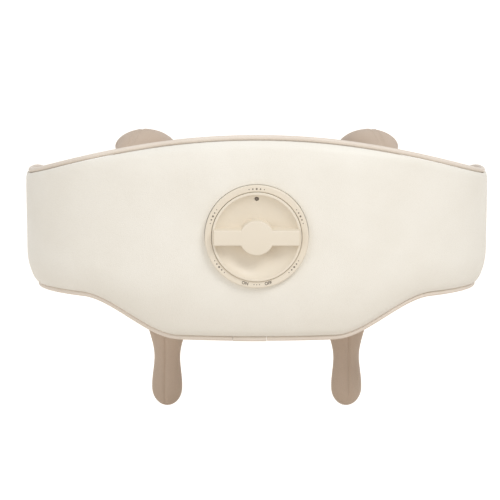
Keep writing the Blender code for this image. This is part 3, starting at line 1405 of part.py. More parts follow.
def sleeve_rings(side):
    rings = []
    for share in ARM_STATION_SHARES:
        rings.append([arm_point(side, share, math.tau * step / ARM_SIDES) for step in range(ARM_SIDES)])
    round_share = ARM_TIP_ROUND / ARM_LENGTH
    start = 1.0 - round_share
    for along in TIP_SHARES:
        share = start + round_share * along
        size = math.sqrt(1.0 - along * along)
        rings.append([arm_point(side, share, math.tau * step / ARM_SIDES, size) for step in range(ARM_SIDES)])
    return rings


def strip_rings(half_width, half_thickness, end_share):
    rings = []
    steps = 11
    for step in range(steps + 1):
        centre, way = arm_frame(end_share * step / steps)
        across = Vector((1.0, 0.0, 0.0))
        outward = across.cross(way)
        corners = ((-1.0, -1.0), (1.0, -1.0), (1.0, 1.0), (-1.0, 1.0))
        wide, thick = across * half_width, outward * half_thickness
        rings.append([centre + wide * a + thick * b for a, b in corners])
    return rings


def make_arm(arm, side, name_end, materials):
    across = Matrix.Rotation(math.pi / 2.0, 4, "Y")
    half = BARREL_LENGTH / 2.0
    sleeve = new_object("arm_sleeve_" + name_end, sweep(sleeve_rings(side)), materials["lining"], arm, 50.0)
    unite(sleeve, rod(BARREL_RADIUS, -half, half, ROUND_STEPS, across), arm)
    bore = rod(KNUCKLE_RADIUS + SEAT_GAP, -half - CUT_OVERRUN, half + CUT_OVERRUN, ROUND_STEPS - 8, across)
    cut(sleeve, bore, arm)
    gap_share = SEAT_GAP / ARM_LENGTH
    room_x, room_y = SPINE_WIDTH / 2.0 + SEAT_GAP, SPINE_THICKNESS / 2.0 + SEAT_GAP
    channel = strip_rings(room_x, room_y, SPINE_SHARE + gap_share)
    cut(sleeve, sweep(channel), arm)
    core = new_object("arm_core_" + name_end, rod(KNUCKLE_RADIUS, -half, half, ROUND_STEPS - 8, across),
                      materials["case"], arm, 30.0)
    unite(core, sweep(strip_rings(SPINE_WIDTH / 2.0, SPINE_THICKNESS / 2.0, SPINE_SHARE)), arm)
    pin_hole = rod(PIN_RADIUS + SEAT_GAP, -half - CUT_OVERRUN, half + CUT_OVERRUN, SMALL_ROUND_STEPS, across)
    cut(core, pin_hole, arm)


def ear_outline():
    """Side view of an ear in Y and Z: a round top on a straight foot."""
    points = [(EAR_RADIUS * math.cos(math.pi * step / 6.0), EAR_RADIUS * math.sin(math.pi * step / 6.0))
              for step in range(7)]
    foot = -BRACKET_DROP + BRACKET_BASE / 2.0
    return points + [(-EAR_RADIUS, foot), (EAR_RADIUS, foot)]


def bracket_screw_places():
    """Both screws go down into the front frame."""
    return [(BRACKET_SCREW_X, BRACKET_SCREW_Y), (-BRACKET_SCREW_X, BRACKET_SCREW_Y)]


def bracket_hole(place):
    top = -BRACKET_DROP + BRACKET_BASE
    low = top - BRACKET_SCREW_LENGTH
    return rod(SCREW_RADIUS + SEAT_GAP, low, top + CUT_OVERRUN, SMALL_ROUND_STEPS,
               Matrix.Translation((place[0], place[1], 0.0)))


def bracket_boss(place):
    """A boss under the case's shoulder for one bracket screw."""
    top = -BRACKET_DROP - SEAT_GAP
    low = top - BRACKET_SCREW_LENGTH
    return rod(BOSS_RADIUS, low, top - CASE_WALL / 2.0, SMALL_ROUND_STEPS,
               Matrix.Translation((place[0], place[1], 0.0)))


def ear_inner():
    return BARREL_LENGTH / 2.0 + WASHER_THICKNESS + 2.0 * SEAT_GAP


def make_bracket(hinge, name_end, materials):
    inner = ear_inner()
    outer = inner + EAR_THICKNESS
    base_top = -BRACKET_DROP + BRACKET_BASE
    base = box((-outer, -BRACKET_HALF_DEPTH, -BRACKET_DROP), (outer, BRACKET_HALF_DEPTH, base_top))
    bracket = new_object("hinge_bracket_" + name_end, base, materials["steel"], hinge)
    unite(bracket, prism(ear_outline(), inner, outer, SIDEWAYS), hinge)
    unite(bracket, prism(ear_outline(), -outer, -inner, SIDEWAYS), hinge)
    across = Matrix.Rotation(math.pi / 2.0, 4, "Y")
    hole_end = outer + CUT_OVERRUN
    pin_hole = rod(PIN_RADIUS + SEAT_GAP, -hole_end, hole_end, SMALL_ROUND_STEPS, across)
    cut(bracket, pin_hole, hinge)
    for number, (x, y) in enumerate(bracket_screw_places(), 1):
        cut(bracket, bracket_hole((x, y)), hinge)
        place = Matrix.Translation((x, y, base_top + SEAT_GAP))
        make_screw("bracket_screw_%s_%d" % (name_end, number), place, BRACKET_SCREW_LENGTH, hinge, materials)
    pin_end = outer + SEAT_GAP
    profile = ((0.0, -pin_end - PIN_HEAD_HEIGHT), (PIN_HEAD_RADIUS, -pin_end - PIN_HEAD_HEIGHT),
               (PIN_HEAD_RADIUS, -pin_end), (PIN_RADIUS, -pin_end), (PIN_RADIUS, pin_end),
               (PIN_HEAD_RADIUS, pin_end), (PIN_HEAD_RADIUS, pin_end + PIN_HEAD_HEIGHT),
               (0.0, pin_end + PIN_HEAD_HEIGHT))
    pin = lathe(profile, SMALL_ROUND_STEPS, matrix=across)
    new_object("hinge_pin_" + name_end, pin, materials["steel"], hinge, 30.0)
    low = BARREL_LENGTH / 2.0 + SEAT_GAP
    washer = ring_profile(PIN_RADIUS + SEAT_GAP, WASHER_RADIUS, low, low + WASHER_THICKNESS)
    turned = across @ Matrix.Rotation(math.pi, 4, "Y")
    for number, placed in enumerate((across, turned), 1):
        name = "hinge_washer_%s_%d" % (name_end, number)
        new_object(name, lathe(washer, SMALL_ROUND_STEPS + 2, True, placed), materials["gear"], hinge, 30.0)


def saddle_point():
    """The place between the arms, under their tops, where the shoulders carry the weight."""
    toe_in = math.radians(ARM_TOE_IN_DEG)
    depth = ARM_HINGE_Y + ARCH_CENTRE * math.cos(toe_in)
    height = ARM_HINGE_Z + ARCH_TOP_ABOVE_HINGE - ARM_ARCH_THICKNESS / 2.0
    return Vector((0.0, depth, height))


def build():
    clear_scene()
    materials = make_materials()
    frame = new_empty("dial_frame", None, -saddle_point())
    dial = outward_frame("dial_axis", frame)
    knob_axis = outward_frame("knob_axis", frame)
    names = {-1.0: "left", 1.0: "right"}
    modules = {side: make_module_frame(frame, side, "module_" + end) for side, end in names.items()}
    hinges, arms = {}, {}
    for side, end in names.items():
        place = (side * ARM_HINGE_X, ARM_HINGE_Y, ARM_HINGE_Z)
        toe_in = Matrix.Rotation(side * math.radians(ARM_TOE_IN_DEG), 3, "Z")
        hinges[side] = new_empty("hinge_" + end, frame, place, toe_in)
        arms[side] = new_empty("arm_" + end, hinges[side])
    make_outer_cover(frame, materials)
    make_inner_lining(frame, modules.values(), hinges.values(), materials)
    make_piping(frame, materials)
    make_rear_shell(frame, modules.values(), materials)
    make_front_frame(frame, modules.values(), hinges.values(), materials)
    make_case_screws(frame, materials)
    make_bezel(dial, materials)
    make_knob(knob_axis, materials)
    make_switch(frame, knob_axis, materials)
    make_board(frame, materials)
    make_battery(frame, materials)
    make_port(frame, materials)
    for side, end in names.items():
        make_wing_foam(frame, side, "wing_foam_" + end, materials)
        make_module(frame, side, end, modules[side], materials)
        make_bracket(hinges[side], end, materials)
        make_arm(arms[side], side, end, materials)


build()
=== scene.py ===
"""Looks of the neck and shoulder massager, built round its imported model.

Everything is in metres. The back cushion, its piping, the lining, the arms' sleeves, the dial and
the kneading modules are made again as dense meshes, from the sizes that the model was built with.
The other parts keep their shape and get a finish of their own.
"""
import math

import bmesh
import bpy
from mathutils import Matrix, Vector, noise


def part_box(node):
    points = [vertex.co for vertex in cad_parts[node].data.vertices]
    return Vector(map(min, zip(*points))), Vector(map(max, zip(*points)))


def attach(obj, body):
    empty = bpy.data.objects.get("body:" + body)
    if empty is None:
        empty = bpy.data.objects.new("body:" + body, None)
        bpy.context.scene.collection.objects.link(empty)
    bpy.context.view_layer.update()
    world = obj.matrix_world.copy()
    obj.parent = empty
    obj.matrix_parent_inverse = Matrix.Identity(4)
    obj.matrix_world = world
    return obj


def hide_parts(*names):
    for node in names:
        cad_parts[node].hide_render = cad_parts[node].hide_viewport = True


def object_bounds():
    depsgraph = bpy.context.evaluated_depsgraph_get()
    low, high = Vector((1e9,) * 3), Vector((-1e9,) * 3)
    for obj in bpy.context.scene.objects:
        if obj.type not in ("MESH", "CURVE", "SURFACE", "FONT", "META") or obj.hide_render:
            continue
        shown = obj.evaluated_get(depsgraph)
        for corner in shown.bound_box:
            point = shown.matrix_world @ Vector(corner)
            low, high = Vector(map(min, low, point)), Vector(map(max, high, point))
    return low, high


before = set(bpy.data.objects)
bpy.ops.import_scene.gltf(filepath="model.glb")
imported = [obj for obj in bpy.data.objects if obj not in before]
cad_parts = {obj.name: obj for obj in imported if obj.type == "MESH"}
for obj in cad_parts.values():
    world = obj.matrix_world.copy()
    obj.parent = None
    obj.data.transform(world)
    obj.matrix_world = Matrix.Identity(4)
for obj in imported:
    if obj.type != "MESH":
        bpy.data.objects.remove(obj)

CAD_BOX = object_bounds()

# Clearances
SEAT_GAP = 0.0003
RUN_GAP = 0.0005
CUT_OVERRUN = 0.004
MERGE_DISTANCE = 0.000003

# Back cushion in plan and as seen from behind
HALF_WIDTH = 0.190
PLAN_DEPTH = 0.100
WING_SWEEP = math.radians(116.0)
TOP_HEIGHT = 0.0789
TOP_DROP = 0.0365
BOTTOM_DEPTH = 0.0877
BOTTOM_RISE = 0.0317
RISE_START_X = 0.066
RISE_END_X = 0.145
TIP_ROUND_LENGTH = 0.036
TIP_EDGE_SHARE = 0.52

# Back cushion in section
BOTTOM_ROLL = 0.014
BOTTOM_ROLL_LENGTH = 0.055
WING_ROLL_SHARE = 0.50
TOP_ROLL = 0.0035
TOP_ROLL_LENGTH = 0.025
TIP_ROLL = 0.008
TIP_ROLL_LENGTH = 0.030
SEAM_ROLL = 0.0025
SEAM_ROLL_LENGTH = 0.006
WING_SEAM_SHARE = 0.35
ROLL_POWER = 2.2
COVER_THICKNESS = 0.007
COVER_EDGE_THICKNESS = 0.003
COVER_EDGE_LENGTH = 0.008
LINING_THICKNESS = 0.005
BODY_THICKNESS = 0.050
WING_THICKNESS = 0.028
THINNING_START_X = 0.130
THINNING_END_X = 0.172
LINING_TIP_LENGTH = 0.030
LINING_TIP_INSET = 0.0025
LINING_TIP_RISE = 0.0035
LINING_POWER = 6.0
CROWDING_SHARE = 0.55
COVER_CROWDING = 0.8
LINING_CROWDING = 0.95

# How the leather lies: soft waves, puckers along the seam and the roll into the dial
WAVE_HEIGHT = 0.00035
WAVE_LENGTH = 0.055
PUCKER_HEIGHT = 0.00016
PUCKER_LENGTH = 0.0085
PUCKER_REACH = 0.013
FINE_PUCKER_SHARE = 0.5
FINE_PUCKER_DIVISOR = 2.2
DIAL_TUCK = 0.0007
DIAL_TUCK_REACH = 0.005

# Piping and its tab
PIPING_RADIUS = 0.0020
TAB_RADIUS = 0.0022
TAB_LEFT_X = -0.0200
TAB_RIGHT_X = 0.0082

# Dial
BEZEL_RADIUS = 0.0408
BEZEL_INNER_RADIUS = 0.0356
BEZEL_PROUD = 0.0035
BEZEL_ROUND = 0.0010
BEZEL_BASE = 0.0069
BEZEL_FLOOR = 0.0022
BEZEL_HOLE_RADIUS = 0.0048015
KNOB_RADIUS = 0.0353
KNOB_RIM_HEIGHT = 0.0050
KNOB_RIM_WIDTH = 0.0018
KNOB_RIM_ROUND = 0.0006
KNOB_BACK = 0.0042
DISH_FLOOR = 0.0026
DISH_CURVE = ((0.35, 2.0), (0.35, 4.0), (0.30, 10.0))
BAR_HEIGHT = 0.0110
BAR_HALF_LENGTH = 0.0334
BAR_TOP_HALF_WIDTH = 0.0060
BAR_BASE_HALF_WIDTH = 0.0074
BAR_EDGE_ROUND = 0.0009
EDGE_STEPS = 6
DISH_STEPS = 40
HUB_RADIUS = 0.0136
HUB_DRAFT = 0.0006
HUB_PROUD = 0.00002
DOT_RADIUS = 0.0015
DOT_OFFSET = 0.0300
NUT_ROOM_RADIUS = 0.0073
NUT_ROOM_HEIGHT = -0.0017
SHAFT_ROOM_RADIUS = 0.0033
SHAFT_ROOM_HEIGHT = 0.0053

# Marks printed on the bezel
PRINT_RADIUS = 0.0379
PRINT_THICKNESS = 0.00006
GROUP_TURN_DEG = 64.5
GROUP_DOT_PITCH = 0.0030
GROUP_DOT_SIZES = (0.00042, 0.00060, 0.00080, 0.00060, 0.00042)
WORD_SIZE = 0.0033
WORD_WEIGHT = 0.00014
WORD_TURN_DEG = 14.0
DOTS_TURN_DEG = 3.2
GROUPS_EACH_WAY = 2

# Kneading modules
MODULE_X = 0.0595
MODULE_OPENING_RADIUS = 0.045
RING_WALL = 0.0015
RING_LIP_WIDTH = 0.0038
RING_LIP_HEIGHT = 0.0017
RING_DEPTH = 0.0030
RING_SINK = 0.0012
DISC_RADIUS = 0.042
DISC_THICKNESS = 0.0028
DISC_FACE = 0.0495
HEAD_RADIUS = 0.016
HEAD_HEIGHT = 0.0165
HEAD_CIRCLE = 0.024
HEAD_STEM_RADIUS = 0.0040
HEAD_RIB_HEIGHT = 0.0005
HEAD_RIB_TURNS = 14.0
HEAD_RIB_FADE = 3.0
HEAD_STEPS = 60
DISC_GROOVE_SHARES = (0.92, 0.90, 0.86, 0.84)
OUTPUT_SHAFT_RADIUS = 0.0040
SHAFT_END = 0.0211

# Arms
ARM_HINGE = Vector((0.106, 0.047, 0.041))
ARM_TOE_IN = math.radians(13.0)
ARCH_CENTRE = 0.050
ARCH_HALF_SPAN = 0.079
ARCH_TOP_ABOVE_HINGE = 0.0196
ARM_WAIST_Z = -0.090
ARM_NECK_Z = -0.1325
ARM_GRIP_Z = -0.157
ARM_TIP_Z = -0.175
ARM_LEG_LEAN = 0.004
ARM_WIDEN_START = 0.030
ARM_WIDEN_END = 0.058
ARM_WIDTHS = (0.0305, 0.0445, 0.0405, 0.0228, 0.0268)
ARM_THICKNESSES = (0.0225, 0.0260, 0.0210, 0.0160, 0.0190)
ARM_TIP_ROUND = 0.016
ARM_ROLL = math.radians(5.0)
ARM_SECTION_POWER = 1.9
ARM_LIFT_DEG = 30.0
ARM_DROP_DEG = 8.0
BARREL_RADIUS = 0.0120
BARREL_LENGTH = 0.0320
KNUCKLE_RADIUS = 0.0080
SPINE_WIDTH = 0.0140
SPINE_THICKNESS = 0.0036
SPINE_SHARE = 0.74
NOTCH_MARGIN = 0.0012
NOTCH_HALF_WIDTH = 0.0192
NOTCH_REACH = 0.060
NOTCH_MARGIN_DEG = 2.0
SEAM_GROOVE_DEPTH = 0.0007
SEAM_GROOVE_WIDTH = 0.0011
LEG_CREASE_DEPTH = 0.0011
STITCH_PITCH = 0.0036
STITCH_OFFSET = 0.0026
STITCH_SIZE = 0.0011

# Charging socket
PORT_FACE_DEPTH = 0.0300
PORT_WIDTH = 0.0220
PORT_THICKNESS = 0.0110
CASE_BOTTOM = 0.060
CASE_SPLIT = 0.0240

# Mesh density
ARC_STEPS = 400
HALVINGS = 40
COVER_COLUMNS = 220
COVER_ROWS = 72
LINING_COLUMNS = 150
LINING_ROWS = 56
DIAL_STEPS = 128
SMALL_STEPS = 32
ARM_LINE_STEPS = 60
ARM_STATIONS = 150
ARM_TIP_STEPS = 14
ARM_SIDES = 64
SPINE_STEPS = 44
NOTCH_STEPS = 16
PIPING_SIDES = 16
TAB_STEPS = 24
TIP_EDGE_STEPS = 16
THREAD_SEGMENTS = 6
THREAD_RINGS = 5
PRINT_SIDES = 16

# The photograph's camera, and the room
VIEW_ELEVATION = math.radians(9.0)
VIEW_DISTANCE = 1.8
VIEW_LENS = 165.3
VIEW_SENSOR = 36.0
VIEW_SHIFT = (-0.0134, -0.0274)
FLOOR_HALF_SIZE = 30.0
FLOOR_DROP = 0.020
FLOOR_COLOUR = (0.80, 0.745, 0.68)
FLOOR_GLOW = 0.64
WORLD_STRENGTH = 0.66
WHITE = (1.0, 1.0, 1.0, 1.0)

# Each lamp's place, size and power
LAMPS = {"key_lamp": ((1.1, -1.8, 2.0), 1.3, 30.0), "fill_lamp": ((-1.6, -2.2, 0.5), 2.0, 11.0)}

# Finishes. Scales are repeats in a metre, spreads are added to a roughness, and a band is the part
# of a cloud's values that is used
WIDE_BAND = (0.3, 0.7)
NARROW_BAND = (0.35, 0.65)
LEATHER_MOTTLE = 22.0
LEATHER_MOTTLE_DETAIL = 4.0
LEATHER_MOTTLE_SHARE = 0.35
LEATHER_CREASE_WIDTH = 0.16
LEATHER_CREASE_SHARE = 0.30
LEATHER_GRAIN_WIDTH = 0.22
LEATHER_GRAIN_DEPTH = 0.00012
LEATHER_GRAIN_STRENGTH = 0.45
LEATHER_SHEEN = 60.0
LEATHER_SPREAD = (-0.05, 0.06)
LEATHER_FOLDS = 240.0
LEATHER_FOLD_DEPTH = 0.000192
LEATHER_FOLD_STRENGTH = 0.30
LEATHER_COAT = 0.06
LEATHER_COAT_ROUGHNESS = 0.45
PLASTIC_SHADE = 35.0
PLASTIC_SHEEN = 90.0
PLASTIC_SPREAD = (-0.04, 0.05)
PLASTIC_DETAIL = 2.0
PLASTIC_DEPTH = 0.00003
PLASTIC_STRENGTH = 0.35
METAL_STRETCH = (1.0, 1.0, 14.0)
METAL_STREAKS = 160.0
METAL_SPREAD = (-0.08, 0.12)
METAL_DEPTH = 0.00002
METAL_STRENGTH = 0.3
RUBBER_ROUGHNESS = 0.52
RUBBER_SHADE = 70.0
RUBBER_GRAIN = 700.0
RUBBER_DEPTH = 0.00006
RUBBER_STRENGTH = 0.4
RUBBER_SHEEN = 0.12
FOAM_ROUGHNESS = 0.95
FOAM_PORES = 700.0
FOAM_PORE_SIZE = 0.6
FOAM_DEPTH = 0.0006
FOAM_STRENGTH = 0.8
BOARD_ROUGHNESS = 0.35
BOARD_GRID = 320.0
BOARD_TRACK_WIDTH = 0.03
BOARD_MASK = (0.03, 0.16, 0.08)
BOARD_MASK_DEEP = (0.025, 0.13, 0.07)
BOARD_TRACK = (0.06, 0.26, 0.12)
BOARD_DEPTH = 0.00005
BOARD_STRENGTH = 0.5

BEZEL_LOW, BEZEL_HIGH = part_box("dial_bezel")
DIAL_CENTRE = Vector((0.0, BEZEL_LOW.y + BEZEL_PROUD, (BEZEL_LOW.z + BEZEL_HIGH.z) / 2.0))
PLACE = Matrix.Translation(DIAL_CENTRE)
DIAL = PLACE @ Matrix.Rotation(math.pi / 2.0, 4, "X")
SIDES = {"left": -1.0, "right": 1.0}


# Sums

def mix(first, second, share):
    return first + (second - first) * share


def smooth_step(low, high, value):
    share = min(1.0, max(0.0, (value - low) / (high - low)))
    return share * share * (3.0 - 2.0 * share)


def fade(distance, length, power):
    """1 at the edge, 0 one length away from it."""
    return max(0.0, 1.0 - max(0.0, distance) / length) ** power


def crowded(count, share):
    """Shares from 0 to 1 that crowd towards both ends."""
    places = [step / count for step in range(count + 1)]
    return [mix(place, (1.0 - math.cos(place * math.pi)) / 2.0, share) for place in places]


# Meshes

def added(name, data):
    """A new object in the scene."""
    thing = bpy.data.objects.new(name, data)
    bpy.context.scene.collection.objects.link(thing)
    return thing


def shown(name, mesh, body, smooth_deg):
    """A piece with smooth shading and sharp edges, on one body of the model."""
    mesh.shade_smooth()
    mesh.set_sharp_from_angle(angle=math.radians(smooth_deg))
    piece = added(name, mesh)
    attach(piece, body)
    return piece


def finished(name, bm, material, body, smooth_deg=35.0):
    mesh = bpy.data.meshes.new(name)
    bm.to_mesh(mesh)
    bm.free()
    mesh.materials.append(material)
    return shown(name, mesh, body, smooth_deg)


def plain_name(material):
    """A finish's name, without the number of a second material of that name."""
    return material.name.split(".")[0]


def dressed(name, bm, material, body, node, smooth_deg=35.0):
    """A piece that takes the place of a node of the model. Its slot is named as its finish is."""
    piece = finished(name, bm, material, body, smooth_deg)
    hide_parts(node)
    return piece


def temporary(bm):
    mesh = bpy.data.meshes.new("tool")
    bm.to_mesh(mesh)
    bm.free()
    return added("tool", mesh)


def carve(bm, steps):
    """The mesh after a run of exact cuts and joins, each an operation and a mesh."""
    base = temporary(bm)
    tools = []
    for operation, shape in steps:
        tool = temporary(shape)
        tools.append(tool)
        modifier = base.modifiers.new("step", "BOOLEAN")
        modifier.operation = operation
        modifier.solver = "EXACT"
        modifier.object = tool
    graph = bpy.context.evaluated_depsgraph_get()
    result = bmesh.new()
    result.from_object(base, graph)
    for leftover in [base] + tools:
        bpy.data.objects.remove(leftover, do_unlink=True)
    bmesh.ops.remove_doubles(result, verts=result.verts, dist=MERGE_DISTANCE)
    bmesh.ops.recalc_face_normals(result, faces=result.faces)
    return result


def placed(bm, matrix):
    bmesh.ops.transform(bm, matrix=matrix, verts=bm.verts)
    bmesh.ops.recalc_face_normals(bm, faces=bm.faces)
    return bm


def lathe(profile, steps, matrix, closed=False):
    """Turns (radius, height) points round Z. A radius of zero is a pole."""
    bm = bmesh.new()
    rings = []
    for radius, height in profile:
        if radius == 0.0:
            rings.append([bm.verts.new((0.0, 0.0, height))])
        else:
            turns = [math.tau * step / steps for step in range(steps)]
            rings.append([bm.verts.new((radius * math.cos(turn), radius * math.sin(turn), height))
                          for turn in turns])
    pairs = list(zip(rings, rings[1:]))
    if closed:
        pairs.append((rings[-1], rings[0]))
    for first, second in pairs:
        for step in range(steps):
            after = (step + 1) % steps
            if len(first) == 1:
                bm.faces.new((first[0], second[after], second[step]))
            elif len(second) == 1:
                bm.faces.new((first[step], first[after], second[0]))
            else:
                bm.faces.new((first[step], first[after], second[after], second[step]))
    return placed(bm, matrix)


def rod(radius, low, high, matrix, steps=SMALL_STEPS):
    return lathe(((0.0, low), (radius, low), (radius, high), (0.0, high)), steps, matrix)


def sweep(rings, matrix):
    """A solid through rings of points, closed at both ends."""
    bm = bmesh.new()
    loops = [[bm.verts.new(point) for point in ring] for ring in rings]
    count = len(loops[0])
    for first, second in zip(loops, loops[1:]):
        for index in range(count):
            after = (index + 1) % count
            bm.faces.new((first[index], first[after], second[after], second[index]))
    bm.faces.new(loops[0])
    bm.faces.new(tuple(reversed(loops[-1])))
    return placed(bm, matrix)


def closed_sheet(outer, inner, matrix):
    """A solid between two grids of points with the same rows and columns."""
    bm = bmesh.new()
    skins = [[[bm.verts.new(point) for point in column] for column in grid]
             for grid in (outer, inner)]
    columns, rows = len(outer), len(outer[0])
    for skin in skins:
        for i in range(columns - 1):
            for j in range(rows - 1):
                bm.faces.new((skin[i][j], skin[i + 1][j], skin[i + 1][j + 1], skin[i][j + 1]))
    border = [(i, 0) for i in range(columns)] + [(columns - 1, j) for j in range(1, rows)]
    border += [(i, rows - 1) for i in range(columns - 2, -1, -1)]
    border += [(0, j) for j in range(rows - 2, 0, -1)]
    for (i, j), (k, m) in zip(border, border[1:] + border[:1]):
        bm.faces.new((skins[0][i][j], skins[0][k][m], skins[1][k][m], skins[1][i][j]))
    return placed(bm, matrix)


def box(low, high, matrix):
    bm = bmesh.new()
    bmesh.ops.create_cube(bm, size=1.0)
    low, high = Vector(low), Vector(high)
    middle, size = (low + high) / 2.0, high - low
    placed = matrix @ Matrix.Translation(middle) @ Matrix.Diagonal((*size, 1.0))
    bmesh.ops.transform(bm, matrix=placed, verts=bm.verts)
    return bm


def arc(centre, radius, first, last, steps):
    """Points of an arc in a profile, angles in degrees."""
    turns = [math.radians(mix(first, last, step / steps)) for step in range(steps + 1)]
    return [(centre[0] + radius * math.cos(turn), centre[1] + radius * math.sin(turn))
            for turn in turns]


# Node trees

def wired(tree, kind, inputs, **settings):
    """A node with its settings and inputs. A socket among the inputs is linked, a value is set."""
    node = tree.nodes.new(kind)
    for label, value in settings.items():
        setattr(node, label, value)
    for label, value in inputs.items():
        if isinstance(value, bpy.types.NodeSocket):
            tree.links.new(value, node.inputs[label])
        else:
            node.inputs[label].default_value = value
    return node


def new_tree(name, inputs):
    """A tree that takes a geometry, with the sockets of its other inputs by label."""
    tree = bpy.data.node_groups.new(name, "GeometryNodeTree")
    tree.interface.new_socket("Geometry", in_out="INPUT", socket_type="NodeSocketGeometry")
    sockets = {}
    for label, kind in inputs.items():
        socket = tree.interface.new_socket(label, in_out="INPUT", socket_type="NodeSocket" + kind)
        sockets[label] = socket.identifier
    tree.interface.new_socket("Geometry", in_out="OUTPUT", socket_type="NodeSocketGeometry")
    return tree, sockets, tree.nodes.new("NodeGroupInput").outputs


def close_tree(tree, given, geometry):
    """Realize Instances and Set Material, which every tree here ends in."""
    real = wired(tree, "GeometryNodeRealizeInstances", {"Geometry": geometry})
    inputs = {"Geometry": real.outputs["Geometry"], "Material": given["Material"]}
    finish = wired(tree, "GeometryNodeSetMaterial", inputs)
    wired(tree, "NodeGroupOutput", {"Geometry": finish.outputs["Geometry"]})


def tube_tree():
    """A round tube along the path of edges it is given, closed at both ends."""
    inputs = {"Radius": "Float", "Sides": "Int", "Material": "Material"}
    tree, sockets, given = new_tree("tube_along_path", inputs)
    curve = wired(tree, "GeometryNodeMeshToCurve", {"Mesh": given["Geometry"]})
    circle = wired(tree, "GeometryNodeCurvePrimitiveCircle",
                   {"Radius": given["Radius"], "Resolution": given["Sides"]})
    tube = wired(tree, "GeometryNodeCurveToMesh",
                 {"Curve": curve.outputs["Curve"], "Profile Curve": circle.outputs["Curve"],
                  "Fill Caps": True})
    close_tree(tree, given, tube.outputs["Mesh"])
    return tree, sockets


def stitch_tree():
    """Short thread loops at an even pitch along the path of edges it is given."""
    inputs = {"Pitch": "Float", "Length": "Float", "Thread": "Float", "Material": "Material"}
    tree, sockets, given = new_tree("stitches_along_path", inputs)
    curve = wired(tree, "GeometryNodeMeshToCurve", {"Mesh": given["Geometry"]})
    points = wired(tree, "GeometryNodeCurveToPoints",
                   {"Curve": curve.outputs["Curve"], "Length": given["Pitch"]}, mode="LENGTH")
    loop = wired(tree, "GeometryNodeMeshUVSphere",
                 {"Segments": THREAD_SEGMENTS, "Rings": THREAD_RINGS})
    size = wired(tree, "ShaderNodeCombineXYZ",
                 {"X": given["Thread"], "Y": given["Thread"], "Z": given["Length"]})
    loops = wired(tree, "GeometryNodeInstanceOnPoints",
                  {"Points": points.outputs["Points"], "Rotation": points.outputs["Rotation"],
                   "Instance": loop.outputs["Mesh"], "Scale": size.outputs["Vector"]})
    close_tree(tree, given, loops.outputs["Instances"])
    return tree, sockets


def print_tree():
    """A thin round print at each point it is given, as large as the point's size attribute."""
    inputs = {"Thickness": "Float", "Material": "Material"}
    tree, sockets, given = new_tree("printed_dots", inputs)
    disc = wired(tree, "GeometryNodeMeshCylinder",
                 {"Vertices": PRINT_SIDES, "Radius": 1.0, "Depth": given["Thickness"]})
    size = wired(tree, "GeometryNodeInputNamedAttribute", {"Name": "print_radius"},
                 data_type="FLOAT")
    radius = size.outputs["Attribute"]
    scale = wired(tree, "ShaderNodeCombineXYZ", {"X": radius, "Y": radius, "Z": 1.0})
    points = wired(tree, "GeometryNodeMeshToPoints", {"Mesh": given["Geometry"]})
    dots = wired(tree, "GeometryNodeInstanceOnPoints",
                 {"Points": points.outputs["Points"], "Instance": disc.outputs["Mesh"],
                  "Scale": scale.outputs["Vector"]})
    close_tree(tree, given, dots.outputs["Instances"])
    return tree, sockets


def plain_mesh(carrier):
    """The mesh that an object comes to. The object itself goes."""
    graph = bpy.context.evaluated_depsgraph_get()
    mesh = bpy.data.meshes.new_from_object(carrier.evaluated_get(graph))
    bpy.data.objects.remove(carrier, do_unlink=True)
    return mesh


def grown(name, base, tree_and_sockets, values, place, body, smooth_deg=60.0):
    """The plain mesh that a node tree makes from a base mesh, placed and riding on a body."""
    tree, sockets = tree_and_sockets
    carrier = added(name + "_base", base)
    modifier = carrier.modifiers.new(tree.name, "NODES")
    modifier.node_group = tree
    for label, value in values.items():
        modifier[sockets[label]] = value
    mesh = plain_mesh(carrier)
    mesh.name = name
    mesh.transform(place)
    whole = bmesh.new()
    whole.from_mesh(mesh)
    bmesh.ops.recalc_face_normals(whole, faces=whole.faces)
    whole.to_mesh(mesh)
    whole.free()
    return shown(name, mesh, body, smooth_deg)


def joined_paths(*paths):
    """A mesh of edges only, one run of them for each path."""
    points, edges = [], []
    for path in paths:
        first = len(points)
        points += [tuple(point) for point in path]
        edges += [(first + i, first + i + 1) for i in range(len(path) - 1)]
    mesh = bpy.data.meshes.new("paths")
    mesh.from_pydata(points, edges, [])
    return mesh


# Materials

